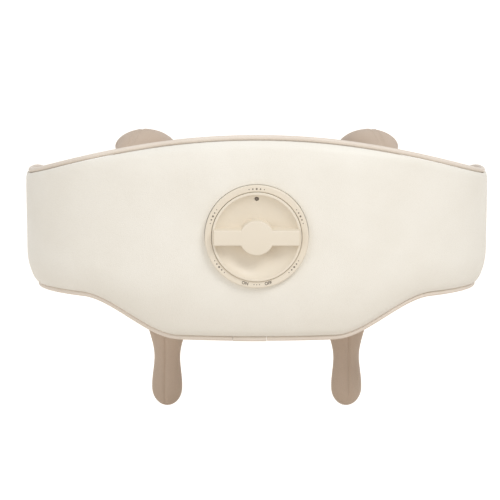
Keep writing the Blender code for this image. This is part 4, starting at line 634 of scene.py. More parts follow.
class Finish:
    """A material under way: its tree, its shader and the place that its patterns follow."""

    def __init__(self, name, colour, roughness, metallic=0.0):
        self.material = bpy.data.materials.new(name)
        self.material.use_nodes = True
        self.tree = self.material.node_tree
        self.shader = self.tree.nodes["Principled BSDF"]
        self.place = self.node("ShaderNodeTexCoord", {}).outputs["Object"]
        self.fix("Base Color", (*colour, 1.0))
        self.fix("Roughness", roughness)
        self.fix("Metallic", metallic)

    def node(self, kind, inputs, **settings):
        return wired(self.tree, kind, inputs, **settings)

    def fix(self, label, value):
        self.shader.inputs[label].default_value = value

    def lead(self, label, socket):
        self.tree.links.new(socket, self.shader.inputs[label])

    def cloud(self, scale, detail=3.0, place=None):
        inputs = {"Scale": scale, "Detail": detail, "Vector": place or self.place}
        return self.node("ShaderNodeTexNoise", inputs).outputs["Fac"]

    def cells(self, scale, feature="F1"):
        inputs = {"Scale": scale, "Vector": self.place}
        return self.node("ShaderNodeTexVoronoi", inputs, feature=feature).outputs["Distance"]

    def ranged(self, value, before, after):
        inputs = {"Value": value, "From Min": before[0], "From Max": before[1],
                  "To Min": after[0], "To Max": after[1]}
        return self.node("ShaderNodeMapRange", inputs).outputs["Result"]

    def tint(self, share, first, second):
        """Leads a colour between two, by a share, to the shader."""
        node = self.node("ShaderNodeMix", {"Factor": share}, data_type="RGBA")
        colours = [socket for socket in node.inputs if socket.type == "RGBA"]
        colours[0].default_value = (*first, 1.0)
        colours[1].default_value = (*second, 1.0)
        self.lead("Base Color", [socket for socket in node.outputs if socket.type == "RGBA"][0])

    def vary_roughness(self, value, roughness, spread):
        least, most = (roughness + part for part in spread)
        self.lead("Roughness", self.ranged(value, WIDE_BAND, (least, most)))

    def bump(self, height, depth, strength):
        """Leads a bump to the shader, over the bump that it already has."""
        inputs = {"Distance": depth, "Strength": strength, "Height": height}
        for link in self.shader.inputs["Normal"].links:
            inputs["Normal"] = link.from_socket
        self.lead("Normal", self.node("ShaderNodeBump", inputs).outputs["Normal"])


def leather(name, colour, deep, roughness, grain_scale=900.0):
    """Coated leather: fine cells with creases between them, faint mottling, uneven sheen."""
    finish = Finish(name, colour, roughness)
    mottle = finish.cloud(LEATHER_MOTTLE, LEATHER_MOTTLE_DETAIL)
    creases = finish.cells(grain_scale, "DISTANCE_TO_EDGE")
    shares = {0: finish.ranged(mottle, NARROW_BAND, (0.0, LEATHER_MOTTLE_SHARE)),
              1: finish.ranged(creases, (0.0, LEATHER_CREASE_WIDTH), (LEATHER_CREASE_SHARE, 0.0))}
    total = finish.node("ShaderNodeMath", shares, operation="ADD")
    finish.tint(total.outputs["Value"], colour, deep)
    finish.vary_roughness(finish.cloud(LEATHER_SHEEN), roughness, LEATHER_SPREAD)
    grain = finish.ranged(creases, (0.0, LEATHER_GRAIN_WIDTH), (0.0, 1.0))
    finish.bump(grain, LEATHER_GRAIN_DEPTH, LEATHER_GRAIN_STRENGTH)
    finish.bump(finish.cloud(LEATHER_FOLDS), LEATHER_FOLD_DEPTH, LEATHER_FOLD_STRENGTH)
    finish.fix("Coat Weight", LEATHER_COAT)
    finish.fix("Coat Roughness", LEATHER_COAT_ROUGHNESS)
    return finish.material


def moulded(name, colour, deep, roughness, spark=1800.0):
    """Moulded plastic: a fine spark-eroded texture and a very slight change of shade."""
    finish = Finish(name, colour, roughness)
    finish.tint(finish.ranged(finish.cloud(PLASTIC_SHADE), WIDE_BAND, (0.0, 1.0)), colour, deep)
    finish.vary_roughness(finish.cloud(PLASTIC_SHEEN), roughness, PLASTIC_SPREAD)
    finish.bump(finish.cloud(spark, PLASTIC_DETAIL), PLASTIC_DEPTH, PLASTIC_STRENGTH)
    return finish.material


def metal(name, colour, deep, roughness):
    """Turned or rolled metal: streaks along one way and uneven gloss."""
    finish = Finish(name, colour, roughness, 1.0)
    stretch = finish.node("ShaderNodeMapping", {"Scale": METAL_STRETCH, "Vector": finish.place})
    streaks = finish.cloud(METAL_STREAKS, place=stretch.outputs["Vector"])
    finish.tint(streaks, colour, deep)
    finish.vary_roughness(streaks, roughness, METAL_SPREAD)
    finish.bump(streaks, METAL_DEPTH, METAL_STRENGTH)
    return finish.material


def rubber(name, colour, deep):
    """Matt silicone with a soft, slightly dusty surface."""
    finish = Finish(name, colour, RUBBER_ROUGHNESS)
    finish.tint(finish.ranged(finish.cloud(RUBBER_SHADE), NARROW_BAND, (0.0, 1.0)), colour, deep)
    finish.bump(finish.cloud(RUBBER_GRAIN), RUBBER_DEPTH, RUBBER_STRENGTH)
    finish.fix("Sheen Weight", RUBBER_SHEEN)
    return finish.material


def foam_block(name, colour, deep):
    """Open-cell foam: round pores."""
    finish = Finish(name, colour, FOAM_ROUGHNESS)
    pores = finish.cells(FOAM_PORES)
    finish.tint(finish.ranged(pores, (0.0, FOAM_PORE_SIZE), (1.0, 0.0)), colour, deep)
    finish.bump(pores, FOAM_DEPTH, FOAM_STRENGTH)
    return finish.material


def board_finish(name):
    """Solder mask over copper tracks, in a fine grid."""
    finish = Finish(name, BOARD_MASK, BOARD_ROUGHNESS)
    inputs = {"Scale": BOARD_GRID, "Mortar Size": BOARD_TRACK_WIDTH, "Vector": finish.place}
    colours = {"Color1": BOARD_MASK, "Color2": BOARD_MASK_DEEP, "Mortar": BOARD_TRACK}
    inputs.update({label: (*colour, 1.0) for label, colour in colours.items()})
    track = finish.node("ShaderNodeTexBrick", inputs)
    finish.lead("Base Color", track.outputs["Color"])
    finish.bump(track.outputs["Fac"], BOARD_DEPTH, BOARD_STRENGTH)
    return finish.material


def make_finishes():
    finishes = [
        leather("cream_leather", (0.885, 0.860, 0.795), (0.800, 0.765, 0.685), 0.50),
        leather("taupe_leather", (0.590, 0.470, 0.370), (0.480, 0.375, 0.290), 0.55, 800.0),
        leather("piping_leather", (0.815, 0.735, 0.650), (0.700, 0.610, 0.520), 0.46, 1300.0),
        moulded("cream_plastic", (0.800, 0.730, 0.615), (0.780, 0.705, 0.585), 0.40),
        moulded("taupe_plastic", (0.42, 0.32, 0.24), (0.39, 0.295, 0.22), 0.45),
        moulded("dark_print", (0.180, 0.148, 0.118), (0.205, 0.172, 0.138), 0.50, 900.0),
        moulded("inner_plastic", (0.62, 0.60, 0.56), (0.58, 0.56, 0.52), 0.48),
        moulded("gearbox_plastic", (0.070, 0.070, 0.075), (0.095, 0.095, 0.100), 0.45),
        moulded("acetal", (0.86, 0.85, 0.82), (0.82, 0.81, 0.77), 0.36, 1200.0),
        metal("steel", (0.62, 0.62, 0.63), (0.48, 0.48, 0.50), 0.30),
        metal("brass", (0.72, 0.55, 0.25), (0.58, 0.42, 0.17), 0.30),
        rubber("silicone", (0.680, 0.570, 0.460), (0.620, 0.510, 0.405)),
        moulded("carrier_plastic", (0.400, 0.310, 0.240), (0.375, 0.285, 0.220), 0.42),
        board_finish("circuit_board"),
        moulded("cell_wrap", (0.05, 0.14, 0.36), (0.045, 0.12, 0.31), 0.28, 500.0),
        foam_block("foam", (0.80, 0.78, 0.70), (0.60, 0.57, 0.50)),
        leather("sewing_thread", (0.60, 0.50, 0.40), (0.50, 0.41, 0.32), 0.7, 2500.0),
    ]
    return {plain_name(finish): finish for finish in finishes}


# Back cushion: a plan angle and a height give a place on it, seen from the dial

def crest(angle):
    slope = Vector((HALF_WIDTH * math.cos(angle), PLAN_DEPTH * math.sin(angle), 0.0)).normalized()
    point = Vector((HALF_WIDTH * math.sin(angle), PLAN_DEPTH * (1.0 - math.cos(angle)), 0.0))
    return point, Vector((-slope.y, slope.x, 0.0))


def at(angle, depth, height):
    point, inward = crest(angle)
    place = point + inward * depth
    place.z = height
    return place


def angle_at_x(x):
    return math.asin(x / HALF_WIDTH)


def arc_table():
    """Length of the crest line from the middle, at even steps of the plan angle."""
    lengths = [0.0]
    step = WING_SWEEP / ARC_STEPS
    for index in range(ARC_STEPS):
        angle = (index + 0.5) * step
        speed = math.hypot(HALF_WIDTH * math.cos(angle), PLAN_DEPTH * math.sin(angle))
        lengths.append(lengths[-1] + speed * step)
    return lengths


ARC_LENGTHS = arc_table()
HALF_LENGTH = ARC_LENGTHS[-1]


def length_at(angle):
    place = min(ARC_STEPS, abs(angle) / WING_SWEEP * ARC_STEPS)
    index = min(ARC_STEPS - 1, int(place))
    return mix(ARC_LENGTHS[index], ARC_LENGTHS[index + 1], place - index)


def angle_at_length(length):
    low, high = 0.0, WING_SWEEP
    for _ in range(HALVINGS):
        middle = (low + high) / 2.0
        if length_at(middle) < length:
            low = middle
        else:
            high = middle
    return (low + high) / 2.0


def reach_x(angle):
    return HALF_WIDTH * math.sin(min(abs(angle), math.pi / 2.0))


def outline(angle):
    """Lowest and highest height of the seam, inside the piping."""
    x = reach_x(angle)
    margin = 2.0 * PIPING_RADIUS + SEAT_GAP
    high = TOP_HEIGHT - TOP_DROP * (x / HALF_WIDTH) ** 2 - margin
    low = -BOTTOM_DEPTH + BOTTOM_RISE * smooth_step(RISE_START_X, RISE_END_X, x) + margin
    middle = (low + high) / 2.0
    share = 1.0
    to_tip = HALF_LENGTH - length_at(angle)
    if to_tip < TIP_ROUND_LENGTH:
        along = 1.0 - to_tip / TIP_ROUND_LENGTH
        share = mix(TIP_EDGE_SHARE, 1.0, math.sqrt(max(0.0, 1.0 - along * along)))
    return mix(middle, low, share), mix(middle, high, share)


def crown(angle, height):
    """How far the leather lies inside the crest line."""
    low, high = outline(angle)
    wing = smooth_step(RISE_START_X, RISE_END_X, reach_x(angle))
    from_low, from_high = height - low, high - height
    from_tip = HALF_LENGTH - length_at(angle)
    size = mix(1.0, WING_ROLL_SHARE, wing)
    bottom = BOTTOM_ROLL * size * fade(from_low, BOTTOM_ROLL_LENGTH * size, ROLL_POWER)
    top = TOP_ROLL * (1.0 - wing) * fade(from_high, TOP_ROLL_LENGTH, ROLL_POWER)
    tip = TIP_ROLL * fade(from_tip, TIP_ROLL_LENGTH, ROLL_POWER)
    to_seam = min(from_low, from_high, from_tip)
    tuck = SEAM_ROLL * mix(1.0, WING_SEAM_SHARE, wing) * fade(to_seam, SEAM_ROLL_LENGTH, ROLL_POWER)
    return math.hypot(bottom, top, tip) + tuck


def cover_back(angle, height):
    low, high = outline(angle)
    to_seam = min(height - low, high - height, HALF_LENGTH - length_at(angle))
    share = fade(to_seam, COVER_EDGE_LENGTH, 1.0)
    return crown(angle, height) + mix(COVER_THICKNESS, COVER_EDGE_THICKNESS, share)


def soft_crown(angle, height):
    """The crown with the waves, puckers and roll of real leather over its padding."""
    low, high = outline(angle)
    along = math.copysign(length_at(angle), angle)
    to_seam = min(height - low, high - height, HALF_LENGTH - abs(along))
    place = Vector((along, height, 0.0))
    settled = min(1.0, to_seam / PUCKER_REACH)
    waves = WAVE_HEIGHT * noise.noise(place / WAVE_LENGTH) * settled
    near_seam = settled * (1.0 - settled) * 4.0 * (1.0 if to_seam < PUCKER_REACH else 0.0)
    crumple = noise.noise(place / PUCKER_LENGTH)
    crumple += FINE_PUCKER_SHARE * noise.noise(place / (PUCKER_LENGTH / FINE_PUCKER_DIVISOR))
    from_dial = math.hypot(along, height) - BEZEL_RADIUS
    tuck = DIAL_TUCK * fade(max(0.0, from_dial), DIAL_TUCK_REACH, 2.0)
    puckers = PUCKER_HEIGHT * crumple * near_seam
    return crown(angle, height) + WAVE_HEIGHT / 2.0 + waves + puckers + tuck


def cushion_angles(columns):
    half = columns // 2
    lengths = [HALF_LENGTH * mix(i / half, math.sin(i / half * math.pi / 2.0), CROWDING_SHARE)
               for i in range(half + 1)]
    right = [angle_at_length(length) for length in lengths]
    return [-angle for angle in reversed(right[1:])] + right


def cushion_grid(columns, shares, depth_at):
    grid = []
    for angle in cushion_angles(columns):
        low, high = outline(angle)
        heights = [mix(low, high, share) for share in shares]
        grid.append([at(angle, depth_at(angle, height), height) for height in heights])
    return grid


def lining_depth(angle, share, height, inset):
    start = cover_back(angle, height) + RUN_GAP
    thinning = smooth_step(THINNING_START_X, THINNING_END_X, reach_x(angle))
    full = mix(BODY_THICKNESS, WING_THICKNESS, thinning) - inset
    upright = (1.0 - abs(2.0 * share - 1.0) ** LINING_POWER) ** (1.0 / LINING_POWER)
    from_tip = min(1.0, (HALF_LENGTH - length_at(angle)) / LINING_TIP_LENGTH)
    rise = max(0.0, full - start) * (1.0 - (1.0 - from_tip) ** 2.0) ** 0.5
    if inset == 0.0:
        rise = max(rise, LINING_TIP_RISE)
    return start + rise * upright


def lining_grid(inset):
    grid = []
    for angle in cushion_angles(LINING_COLUMNS):
        low, high = outline(angle)
        middle = (low + high) / 2.0
        scale = 1.0 - 2.0 * inset / (high - low)
        shifted = angle
        if inset > 0.0 and HALF_LENGTH - length_at(angle) < LINING_TIP_INSET:
            shifted = math.copysign(angle_at_length(HALF_LENGTH - LINING_TIP_INSET), angle)
        column = []
        for share in crowded(LINING_ROWS, LINING_CROWDING):
            height = mix(low, high, share)
            depth = lining_depth(angle, share, height, inset)
            column.append(at(shifted, depth, middle + (height - middle) * scale))
        grid.append(column)
    return grid


def module_place(side):
    """Matrix whose Z runs towards the wearer along a kneading module's axis."""
    point, inward = crest(angle_at_x(side * MODULE_X))
    up = Vector((0.0, 0.0, 1.0))
    matrix = Matrix((up.cross(inward), up, inward)).transposed().to_4x4()
    matrix.translation = point
    return PLACE @ matrix


def hinge_place(side):
    place = Matrix.Translation((side * ARM_HINGE.x, ARM_HINGE.y, ARM_HINGE.z))
    return PLACE @ place @ Matrix.Rotation(side * ARM_TOE_IN, 4, "Z")


# Soft pieces of the back cushion

def make_cover(finishes):
    shares = crowded(COVER_ROWS, COVER_CROWDING)
    outer = cushion_grid(COVER_COLUMNS, shares, soft_crown)
    inner = cushion_grid(COVER_COLUMNS, shares, cover_back)
    facing = PLACE @ Matrix.Rotation(-math.pi / 2.0, 4, "X")
    hole = rod(BEZEL_RADIUS + SEAT_GAP, -BODY_THICKNESS, BODY_THICKNESS, facing, DIAL_STEPS)
    shape = carve(closed_sheet(outer, inner, PLACE), [("DIFFERENCE", hole)])
    cover = dressed("cushion_cover", shape, finishes["cream_leather"], "cushion", "outer_cover",
                    smooth_deg=50.0)


def notch(side):
    """The space that an arm's root sweeps in the lining."""
    start = arm_start_angle()
    lowest = start - math.radians(ARM_DROP_DEG + NOTCH_MARGIN_DEG)
    highest = start + math.radians(ARM_LIFT_DEG + NOTCH_MARGIN_DEG)
    first, last = highest + math.pi / 2.0, lowest + math.tau - math.pi / 2.0
    radius = BARREL_RADIUS + NOTCH_MARGIN
    points = [Vector((math.cos(turn), math.sin(turn))) * radius
              for turn in (mix(first, last, step / NOTCH_STEPS) for step in range(NOTCH_STEPS + 1))]
    points.append(points[-1] + Vector((math.cos(lowest), math.sin(lowest))) * NOTCH_REACH)
    points.append(points[0] + Vector((math.cos(highest), math.sin(highest))) * NOTCH_REACH)
    rings = [[(x, y, z) for y, z in points] for x in (-NOTCH_HALF_WIDTH, NOTCH_HALF_WIDTH)]
    return sweep(rings, hinge_place(side))


def make_lining(finishes):
    body = closed_sheet(lining_grid(0.0), lining_grid(LINING_THICKNESS), PLACE)
    steps = []
    beyond = BODY_THICKNESS + HEAD_HEIGHT
    for side in SIDES.values():
        module = module_place(side)
        opening = rod(MODULE_OPENING_RADIUS, CASE_SPLIT, beyond, module, DIAL_STEPS)
        seat_radius = MODULE_OPENING_RADIUS + RING_LIP_WIDTH + RUN_GAP
        seat = rod(seat_radius, BODY_THICKNESS - RING_SINK, beyond, module, DIAL_STEPS)
        steps += [("DIFFERENCE", shape) for shape in (opening, seat, notch(side))]
    half_width = PORT_WIDTH / 2.0 + SEAT_GAP
    half_thickness = PORT_THICKNESS / 2.0 + SEAT_GAP
    low = (-half_width, PORT_FACE_DEPTH - half_thickness, -BOTTOM_DEPTH - CUT_OVERRUN)
    high = (half_width, PORT_FACE_DEPTH + half_thickness, -CASE_BOTTOM)
    steps.append(("DIFFERENCE", box(low, high, PLACE)))
    shape = carve(body, steps)
    lining = dressed("cushion_lining", shape, finishes["taupe_leather"], "cushion", "inner_lining",
                     smooth_deg=50.0)


def seam_loop():
    """Places round the seam as (crest length, height), from the tab's right end to its left."""
    angles = cushion_angles(COVER_COLUMNS // 2)
    lows = [(math.copysign(length_at(angle), angle), outline(angle)[0]) for angle in angles]
    highs = [(math.copysign(length_at(angle), angle), outline(angle)[1]) for angle in angles]
    right_start = length_at(angle_at_x(TAB_RIGHT_X + SEAT_GAP))
    left_end = -length_at(angle_at_x(-TAB_LEFT_X + SEAT_GAP))
    bottom = outline(0.0)[0]
    shares = [step / TIP_EDGE_STEPS for step in range(1, TIP_EDGE_STEPS)]
    loop = [(right_start, bottom)]
    loop += [place for place in lows if place[0] > right_start + PIPING_RADIUS]
    loop += [(HALF_LENGTH, mix(lows[-1][1], highs[-1][1], share)) for share in shares]
    loop += list(reversed(highs))
    loop += [(-HALF_LENGTH, mix(highs[0][1], lows[0][1], share)) for share in shares]
    loop += [place for place in lows if place[0] < left_end - PIPING_RADIUS] + [(left_end, bottom)]
    return loop


def seam_point(length, height, outward, standoff):
    """A point that stands off from the seam in the cushion's own face."""
    moved = length + outward[0] * standoff
    over = max(0.0, abs(moved) - HALF_LENGTH)
    seam_angle = math.copysign(angle_at_length(abs(length)), length)
    angle = math.copysign(angle_at_length(min(HALF_LENGTH, abs(moved))), moved)
    depth = crown(seam_angle, height) + COVER_EDGE_THICKNESS + SEAT_GAP / 2.0
    place = at(angle, depth, height + outward[1] * standoff)
    inward = crest(angle)[1]
    return place + Vector((inward.y, -inward.x, 0.0)) * math.copysign(over, moved)


def seam_centres(loop):
    standoff = PIPING_RADIUS + SEAT_GAP
    centres = []
    last = len(loop) - 1
    for index, (length, height) in enumerate(loop):
        before, after = loop[max(0, index - 1)], loop[min(last, index + 1)]
        way = Vector((after[0] - before[0], after[1] - before[1])).normalized()
        outward = (0.0, -1.0) if index in (0, last) else (way.y, -way.x)
        centres.append(seam_point(length, height, outward, standoff))
    return centres


def make_piping(finishes, tube):
    values = {"Radius": PIPING_RADIUS, "Sides": PIPING_SIDES,
              "Material": finishes["piping_leather"]}
    path = joined_paths(seam_centres(seam_loop()))
    piping = grown("cushion_piping", path, tube, values, PLACE, "cushion")
    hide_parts("edge_piping")
    xs = [mix(TAB_LEFT_X, TAB_RIGHT_X, step / TAB_STEPS) for step in range(TAB_STEPS + 1)]
    height = outline(0.0)[0] - (TAB_RADIUS - PIPING_RADIUS)
    centres = []
    for x in xs:
        length = math.copysign(length_at(angle_at_x(abs(x))), x)
        centres.append(seam_point(length, height, (0.0, -1.0), PIPING_RADIUS + SEAT_GAP))
    values["Radius"] = TAB_RADIUS
    tab = grown("piping_joint_tab", joined_paths(centres), tube, values, PLACE, "cushion")
    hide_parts("piping_tab")


# Arms. In an arm's frame X is its hinge axis, Y points forwards and Z up, from the hinge

def arm_start_turn():
    return math.acos(ARCH_CENTRE / ARCH_HALF_SPAN)


def arch_rise():
    return ARCH_TOP_ABOVE_HINGE / (1.0 - math.sin(arm_start_turn()))


def arm_start_angle():
    turn = arm_start_turn()
    return math.atan2(arch_rise() * math.cos(turn), ARCH_HALF_SPAN * math.sin(turn))


def arm_line():
    """Points along the arm's middle line: an arch, then a leg that leans a little to the wearer."""
    start = arm_start_turn()
    points = []
    for step in range(ARM_LINE_STEPS + 1):
        turn = mix(start, math.pi, step / ARM_LINE_STEPS)
        height = ARCH_TOP_ABOVE_HINGE - arch_rise() * (1.0 - math.sin(turn))
        points.append(Vector((0.0, ARCH_CENTRE - ARCH_HALF_SPAN * math.cos(turn), height)))
    front = points[-1]
    drop = (ARM_TIP_Z - ARM_HINGE.z) - front.z
    for step in range(1, ARM_LINE_STEPS + 1):
        share = step / ARM_LINE_STEPS
        points.append(Vector((0.0, front.y - ARM_LEG_LEAN * share * share, front.z + drop * share)))
    return points


def line_lengths(points):
    lengths = [0.0]
    for before, after in zip(points, points[1:]):
        lengths.append(lengths[-1] + (after - before).length)
    return lengths


ARM_LINE = arm_line()
ARM_LENGTHS = line_lengths(ARM_LINE)
ARM_LENGTH = ARM_LENGTHS[-1]


def arm_frame(share):
    """Point and way of the arm's middle line at a share of its length."""
    target = min(1.0, max(0.0, share)) * ARM_LENGTH
    index = 1
    while index < len(ARM_LENGTHS) - 1 and ARM_LENGTHS[index] < target:
        index += 1
    before, after = ARM_LINE[index - 1], ARM_LINE[index]
    part = (target - ARM_LENGTHS[index - 1]) / (ARM_LENGTHS[index] - ARM_LENGTHS[index - 1])
    ways = []
    for place in (index - 1, index):
        first, last = ARM_LINE[max(0, place - 1)], ARM_LINE[min(len(ARM_LINE) - 1, place + 1)]
        ways.append((last - first).normalized())
    return before.lerp(after, part), ways[0].lerp(ways[1], part).normalized()


def share_at_height(height):
    for index in range(len(ARM_LINE) - 1, 0, -1):
        above, below = ARM_LINE[index - 1].z, ARM_LINE[index].z
        if above >= height:
            part = (above - height) / (above - below)
            return mix(ARM_LENGTHS[index - 1], ARM_LENGTHS[index], part) / ARM_LENGTH
    return 0.0


WIDEN_START_SHARE = ARM_WIDEN_START / ARM_LENGTH
WIDEN_END_SHARE = ARM_WIDEN_END / ARM_LENGTH
WAIST_SHARE = share_at_height(ARM_WAIST_Z - ARM_HINGE.z)
NECK_SHARE = share_at_height(ARM_NECK_Z - ARM_HINGE.z)
GRIP_SHARE = share_at_height(ARM_GRIP_Z - ARM_HINGE.z)


def along_arm(share, values):
    """Value at a share of the arm, from its values at root, arch, waist, neck and grip."""
    root, arch, waist, neck, grip = values
    value = mix(root, arch, smooth_step(WIDEN_START_SHARE, WIDEN_END_SHARE, share))
    value = mix(value, waist, smooth_step(WIDEN_END_SHARE, WAIST_SHARE, share))
    value = mix(value, neck, smooth_step(WAIST_SHARE, NECK_SHARE, share))
    return mix(value, grip, smooth_step(NECK_SHARE, GRIP_SHARE, share))


def arm_point(side, share, angle, size=1.0, lift=0.0):
    """A point on the sleeve. Angle 0 is towards +X, a quarter turn is the outer, upper face."""
    centre, way = arm_frame(share)
    across = Vector((1.0, 0.0, 0.0))
    outward = across.cross(way)
    rise = smooth_step(WIDEN_START_SHARE, WIDEN_END_SHARE, share)
    fall = smooth_step(2.0 * WIDEN_END_SHARE, WAIST_SHARE, share)
    roll = Matrix.Rotation(side * ARM_ROLL * rise * (1.0 - fall), 3, way)
    across, outward = roll @ across, roll @ outward
    power = 2.0 / ARM_SECTION_POWER
    cosine, sine = math.cos(angle), math.sin(angle)
    half_width = along_arm(share, ARM_WIDTHS) / 2.0
    half_thickness = along_arm(share, ARM_THICKNESSES) / 2.0
    x = math.copysign(abs(cosine) ** power, cosine) * half_width * size
    y = math.copysign(abs(sine) ** power, sine) * half_thickness * size
    crease = SEAM_GROOVE_DEPTH if sine > 0.0 else -LEG_CREASE_DEPTH * fall
    groove = crease * size * math.exp(-(x / SEAM_GROOVE_WIDTH) ** 2)
    return centre + across * x + outward * (y - groove + lift)


def sleeve_rings(side):
    turns = [math.tau * step / ARM_SIDES for step in range(ARM_SIDES)]
    start = 1.0 - ARM_TIP_ROUND / ARM_LENGTH
    rings = [[arm_point(side, start * step / ARM_STATIONS, turn) for turn in turns]
             for step in range(ARM_STATIONS + 1)]
    for step in range(1, ARM_TIP_STEPS):
        along = math.sin(step / ARM_TIP_STEPS * math.pi / 2.0)
        share = mix(start, 1.0, along)
        size = math.sqrt(1.0 - along * along)
        rings.append([arm_point(side, share, turn, size) for turn in turns])
    return rings


def strip_rings(half_width, half_thickness, end_share):
    rings = []
    for step in range(SPINE_STEPS + 1):
        centre, way = arm_frame(end_share * step / SPINE_STEPS)
        across = Vector((1.0, 0.0, 0.0))
        outward = across.cross(way)
        wide, thick = across * half_width, outward * half_thickness
        rings.append([centre + wide * a + thick * b
                      for a, b in ((-1, -1), (1, -1), (1, 1), (-1, 1))])
    return rings


def make_arm(end, side, finishes, stitches):
    place = hinge_place(side)
    across = place @ Matrix.Rotation(math.pi / 2.0, 4, "Y")
    half = BARREL_LENGTH / 2.0
    barrel = rod(BARREL_RADIUS, -half, half, across, SMALL_STEPS * 2)
    bore = rod(KNUCKLE_RADIUS + SEAT_GAP, -half - CUT_OVERRUN, half + CUT_OVERRUN, across)
    room = (SPINE_WIDTH / 2.0 + SEAT_GAP, SPINE_THICKNESS / 2.0 + SEAT_GAP)
    channel = sweep(strip_rings(*room, SPINE_SHARE + SEAT_GAP / ARM_LENGTH), place)
    steps = [("UNION", barrel), ("DIFFERENCE", bore), ("DIFFERENCE", channel)]
    shape = carve(sweep(sleeve_rings(side), place), steps)
    sleeve = dressed("arm_cushion_" + end, shape, finishes["taupe_leather"], "arm_" + end,
                     "arm_sleeve_" + end, smooth_deg=45.0)
    paths = []
    for way in (-1.0, 1.0):
        path = []
        for step in range(ARM_STATIONS + 1):
            share = mix(WIDEN_START_SHARE, GRIP_SHARE, step / ARM_STATIONS)
            half_width = along_arm(share, ARM_WIDTHS) / 2.0
            turn = math.acos(way * (STITCH_OFFSET / half_width) ** (ARM_SECTION_POWER / 2.0))
            path.append(arm_point(side, share, turn))
        paths.append(path)
    values = {"Pitch": STITCH_PITCH, "Length": STITCH_SIZE, "Thread": STITCH_SIZE / 4.0,
              "Material": finishes["sewing_thread"]}
    sewn = grown("arm_stitches_" + end, joined_paths(*paths), stitches, values, place, "arm_" + end)


# Dial

def make_bezel(finishes):
    floor = -BEZEL_BASE + BEZEL_FLOOR
    top, edge, inner_edge = BEZEL_PROUD, BEZEL_ROUND, BEZEL_ROUND / 2.0
    inner_middle = (BEZEL_INNER_RADIUS + inner_edge, top - inner_edge)
    profile = [(BEZEL_HOLE_RADIUS, -BEZEL_BASE), (BEZEL_RADIUS, -BEZEL_BASE)]
    profile += arc((BEZEL_RADIUS - edge, top - edge), edge, 0.0, 90.0, EDGE_STEPS)
    profile += arc(inner_middle, inner_edge, 90.0, 180.0, EDGE_STEPS - 1)
    profile += [(BEZEL_INNER_RADIUS, floor), (BEZEL_HOLE_RADIUS, floor)]
    shape = lathe(profile, DIAL_STEPS, DIAL, True)
    dressed("dial_ring", shape, finishes["cream_plastic"], "cushion", "dial_bezel")


def dish_points():
    """Smooth concave dish from the rim's inner edge down to the middle."""
    rim_inner = KNOB_RADIUS - KNOB_RIM_WIDTH
    depth = KNOB_RIM_HEIGHT + DISH_FLOOR
    points = []
    for step in range(DISH_STEPS + 1):
        share = 1.0 - step / DISH_STEPS
        height = sum(part * share ** power for part, power in DISH_CURVE)
        points.append((rim_inner * share, -DISH_FLOOR + depth * height))
    return points


def bar_rings():
    base = -DISH_FLOOR - SEAT_GAP
    edge = BAR_EDGE_ROUND
    shoulder = BAR_HEIGHT - edge
    inner = BAR_TOP_HALF_WIDTH - edge
    section = [(-BAR_BASE_HALF_WIDTH, base), (BAR_BASE_HALF_WIDTH, base)]
    section += arc((inner, shoulder), edge, 0.0, 90.0, EDGE_STEPS)
    section += arc((-inner, shoulder), edge, 90.0, 180.0, EDGE_STEPS)
    return [[Vector((x, y, z)) for y, z in section] for x in (-BAR_HALF_LENGTH, BAR_HALF_LENGTH)]


def make_knob(finishes):
    edge = KNOB_RIM_ROUND
    profile = [(0.0, -KNOB_BACK), (KNOB_RADIUS - edge, -KNOB_BACK),
               (KNOB_RADIUS, -KNOB_BACK + edge)]
    profile += arc((KNOB_RADIUS - edge, KNOB_RIM_HEIGHT - edge), edge, 0.0, 90.0, EDGE_STEPS)
    profile += dish_points()
    hub_top, hub_base, edge = BAR_HEIGHT + HUB_PROUD, -DISH_FLOOR - SEAT_GAP, BAR_EDGE_ROUND
    hub = [(0.0, hub_base), (HUB_RADIUS + HUB_DRAFT, hub_base)]
    hub += arc((HUB_RADIUS - edge, hub_top - edge), edge, 0.0, 90.0, EDGE_STEPS)
    hub += [(0.0, hub_top)]
    room = rod(NUT_ROOM_RADIUS, -KNOB_BACK - CUT_OVERRUN, NUT_ROOM_HEIGHT, DIAL)
    shaft = rod(SHAFT_ROOM_RADIUS, -KNOB_BACK - CUT_OVERRUN, SHAFT_ROOM_HEIGHT, DIAL)
    dot_back = DIAL_CENTRE.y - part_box("indicator_dot")[1].y - SEAT_GAP
    dot_place = DIAL @ Matrix.Translation((0.0, DOT_OFFSET, 0.0))
    dot = rod(DOT_RADIUS + SEAT_GAP, dot_back, KNOB_RIM_HEIGHT * 2.0, dot_place)
    steps = [("UNION", sweep(bar_rings(), DIAL)), ("UNION", lathe(hub, DIAL_STEPS, DIAL)),
             ("DIFFERENCE", room), ("DIFFERENCE", shaft), ("DIFFERENCE", dot)]
    shape = carve(lathe(profile, DIAL_STEPS, DIAL), steps)
    dressed("dial_knob_grip", shape, finishes["cream_plastic"], "dial_knob", "knob",
            smooth_deg=30.0)


def print_points():
    """Middle and radius of every printed dot on the bezel's flat face, in the dial's frame."""
    places = []
    middle = len(GROUP_DOT_SIZES) // 2
    for group in range(-GROUPS_EACH_WAY, GROUPS_EACH_WAY + 1):
        for index, size in enumerate(GROUP_DOT_SIZES):
            group_turn = math.radians(group * GROUP_TURN_DEG)
            places.append((group_turn + (index - middle) * GROUP_DOT_PITCH / PRINT_RADIUS, size))
    for index in (-1, 0, 1):
        places.append((math.pi + index * math.radians(DOTS_TURN_DEG), GROUP_DOT_SIZES[0]))
    return [((PRINT_RADIUS * math.sin(turn), PRINT_RADIUS * math.cos(turn), BEZEL_PROUD), size)
            for turn, size in places]


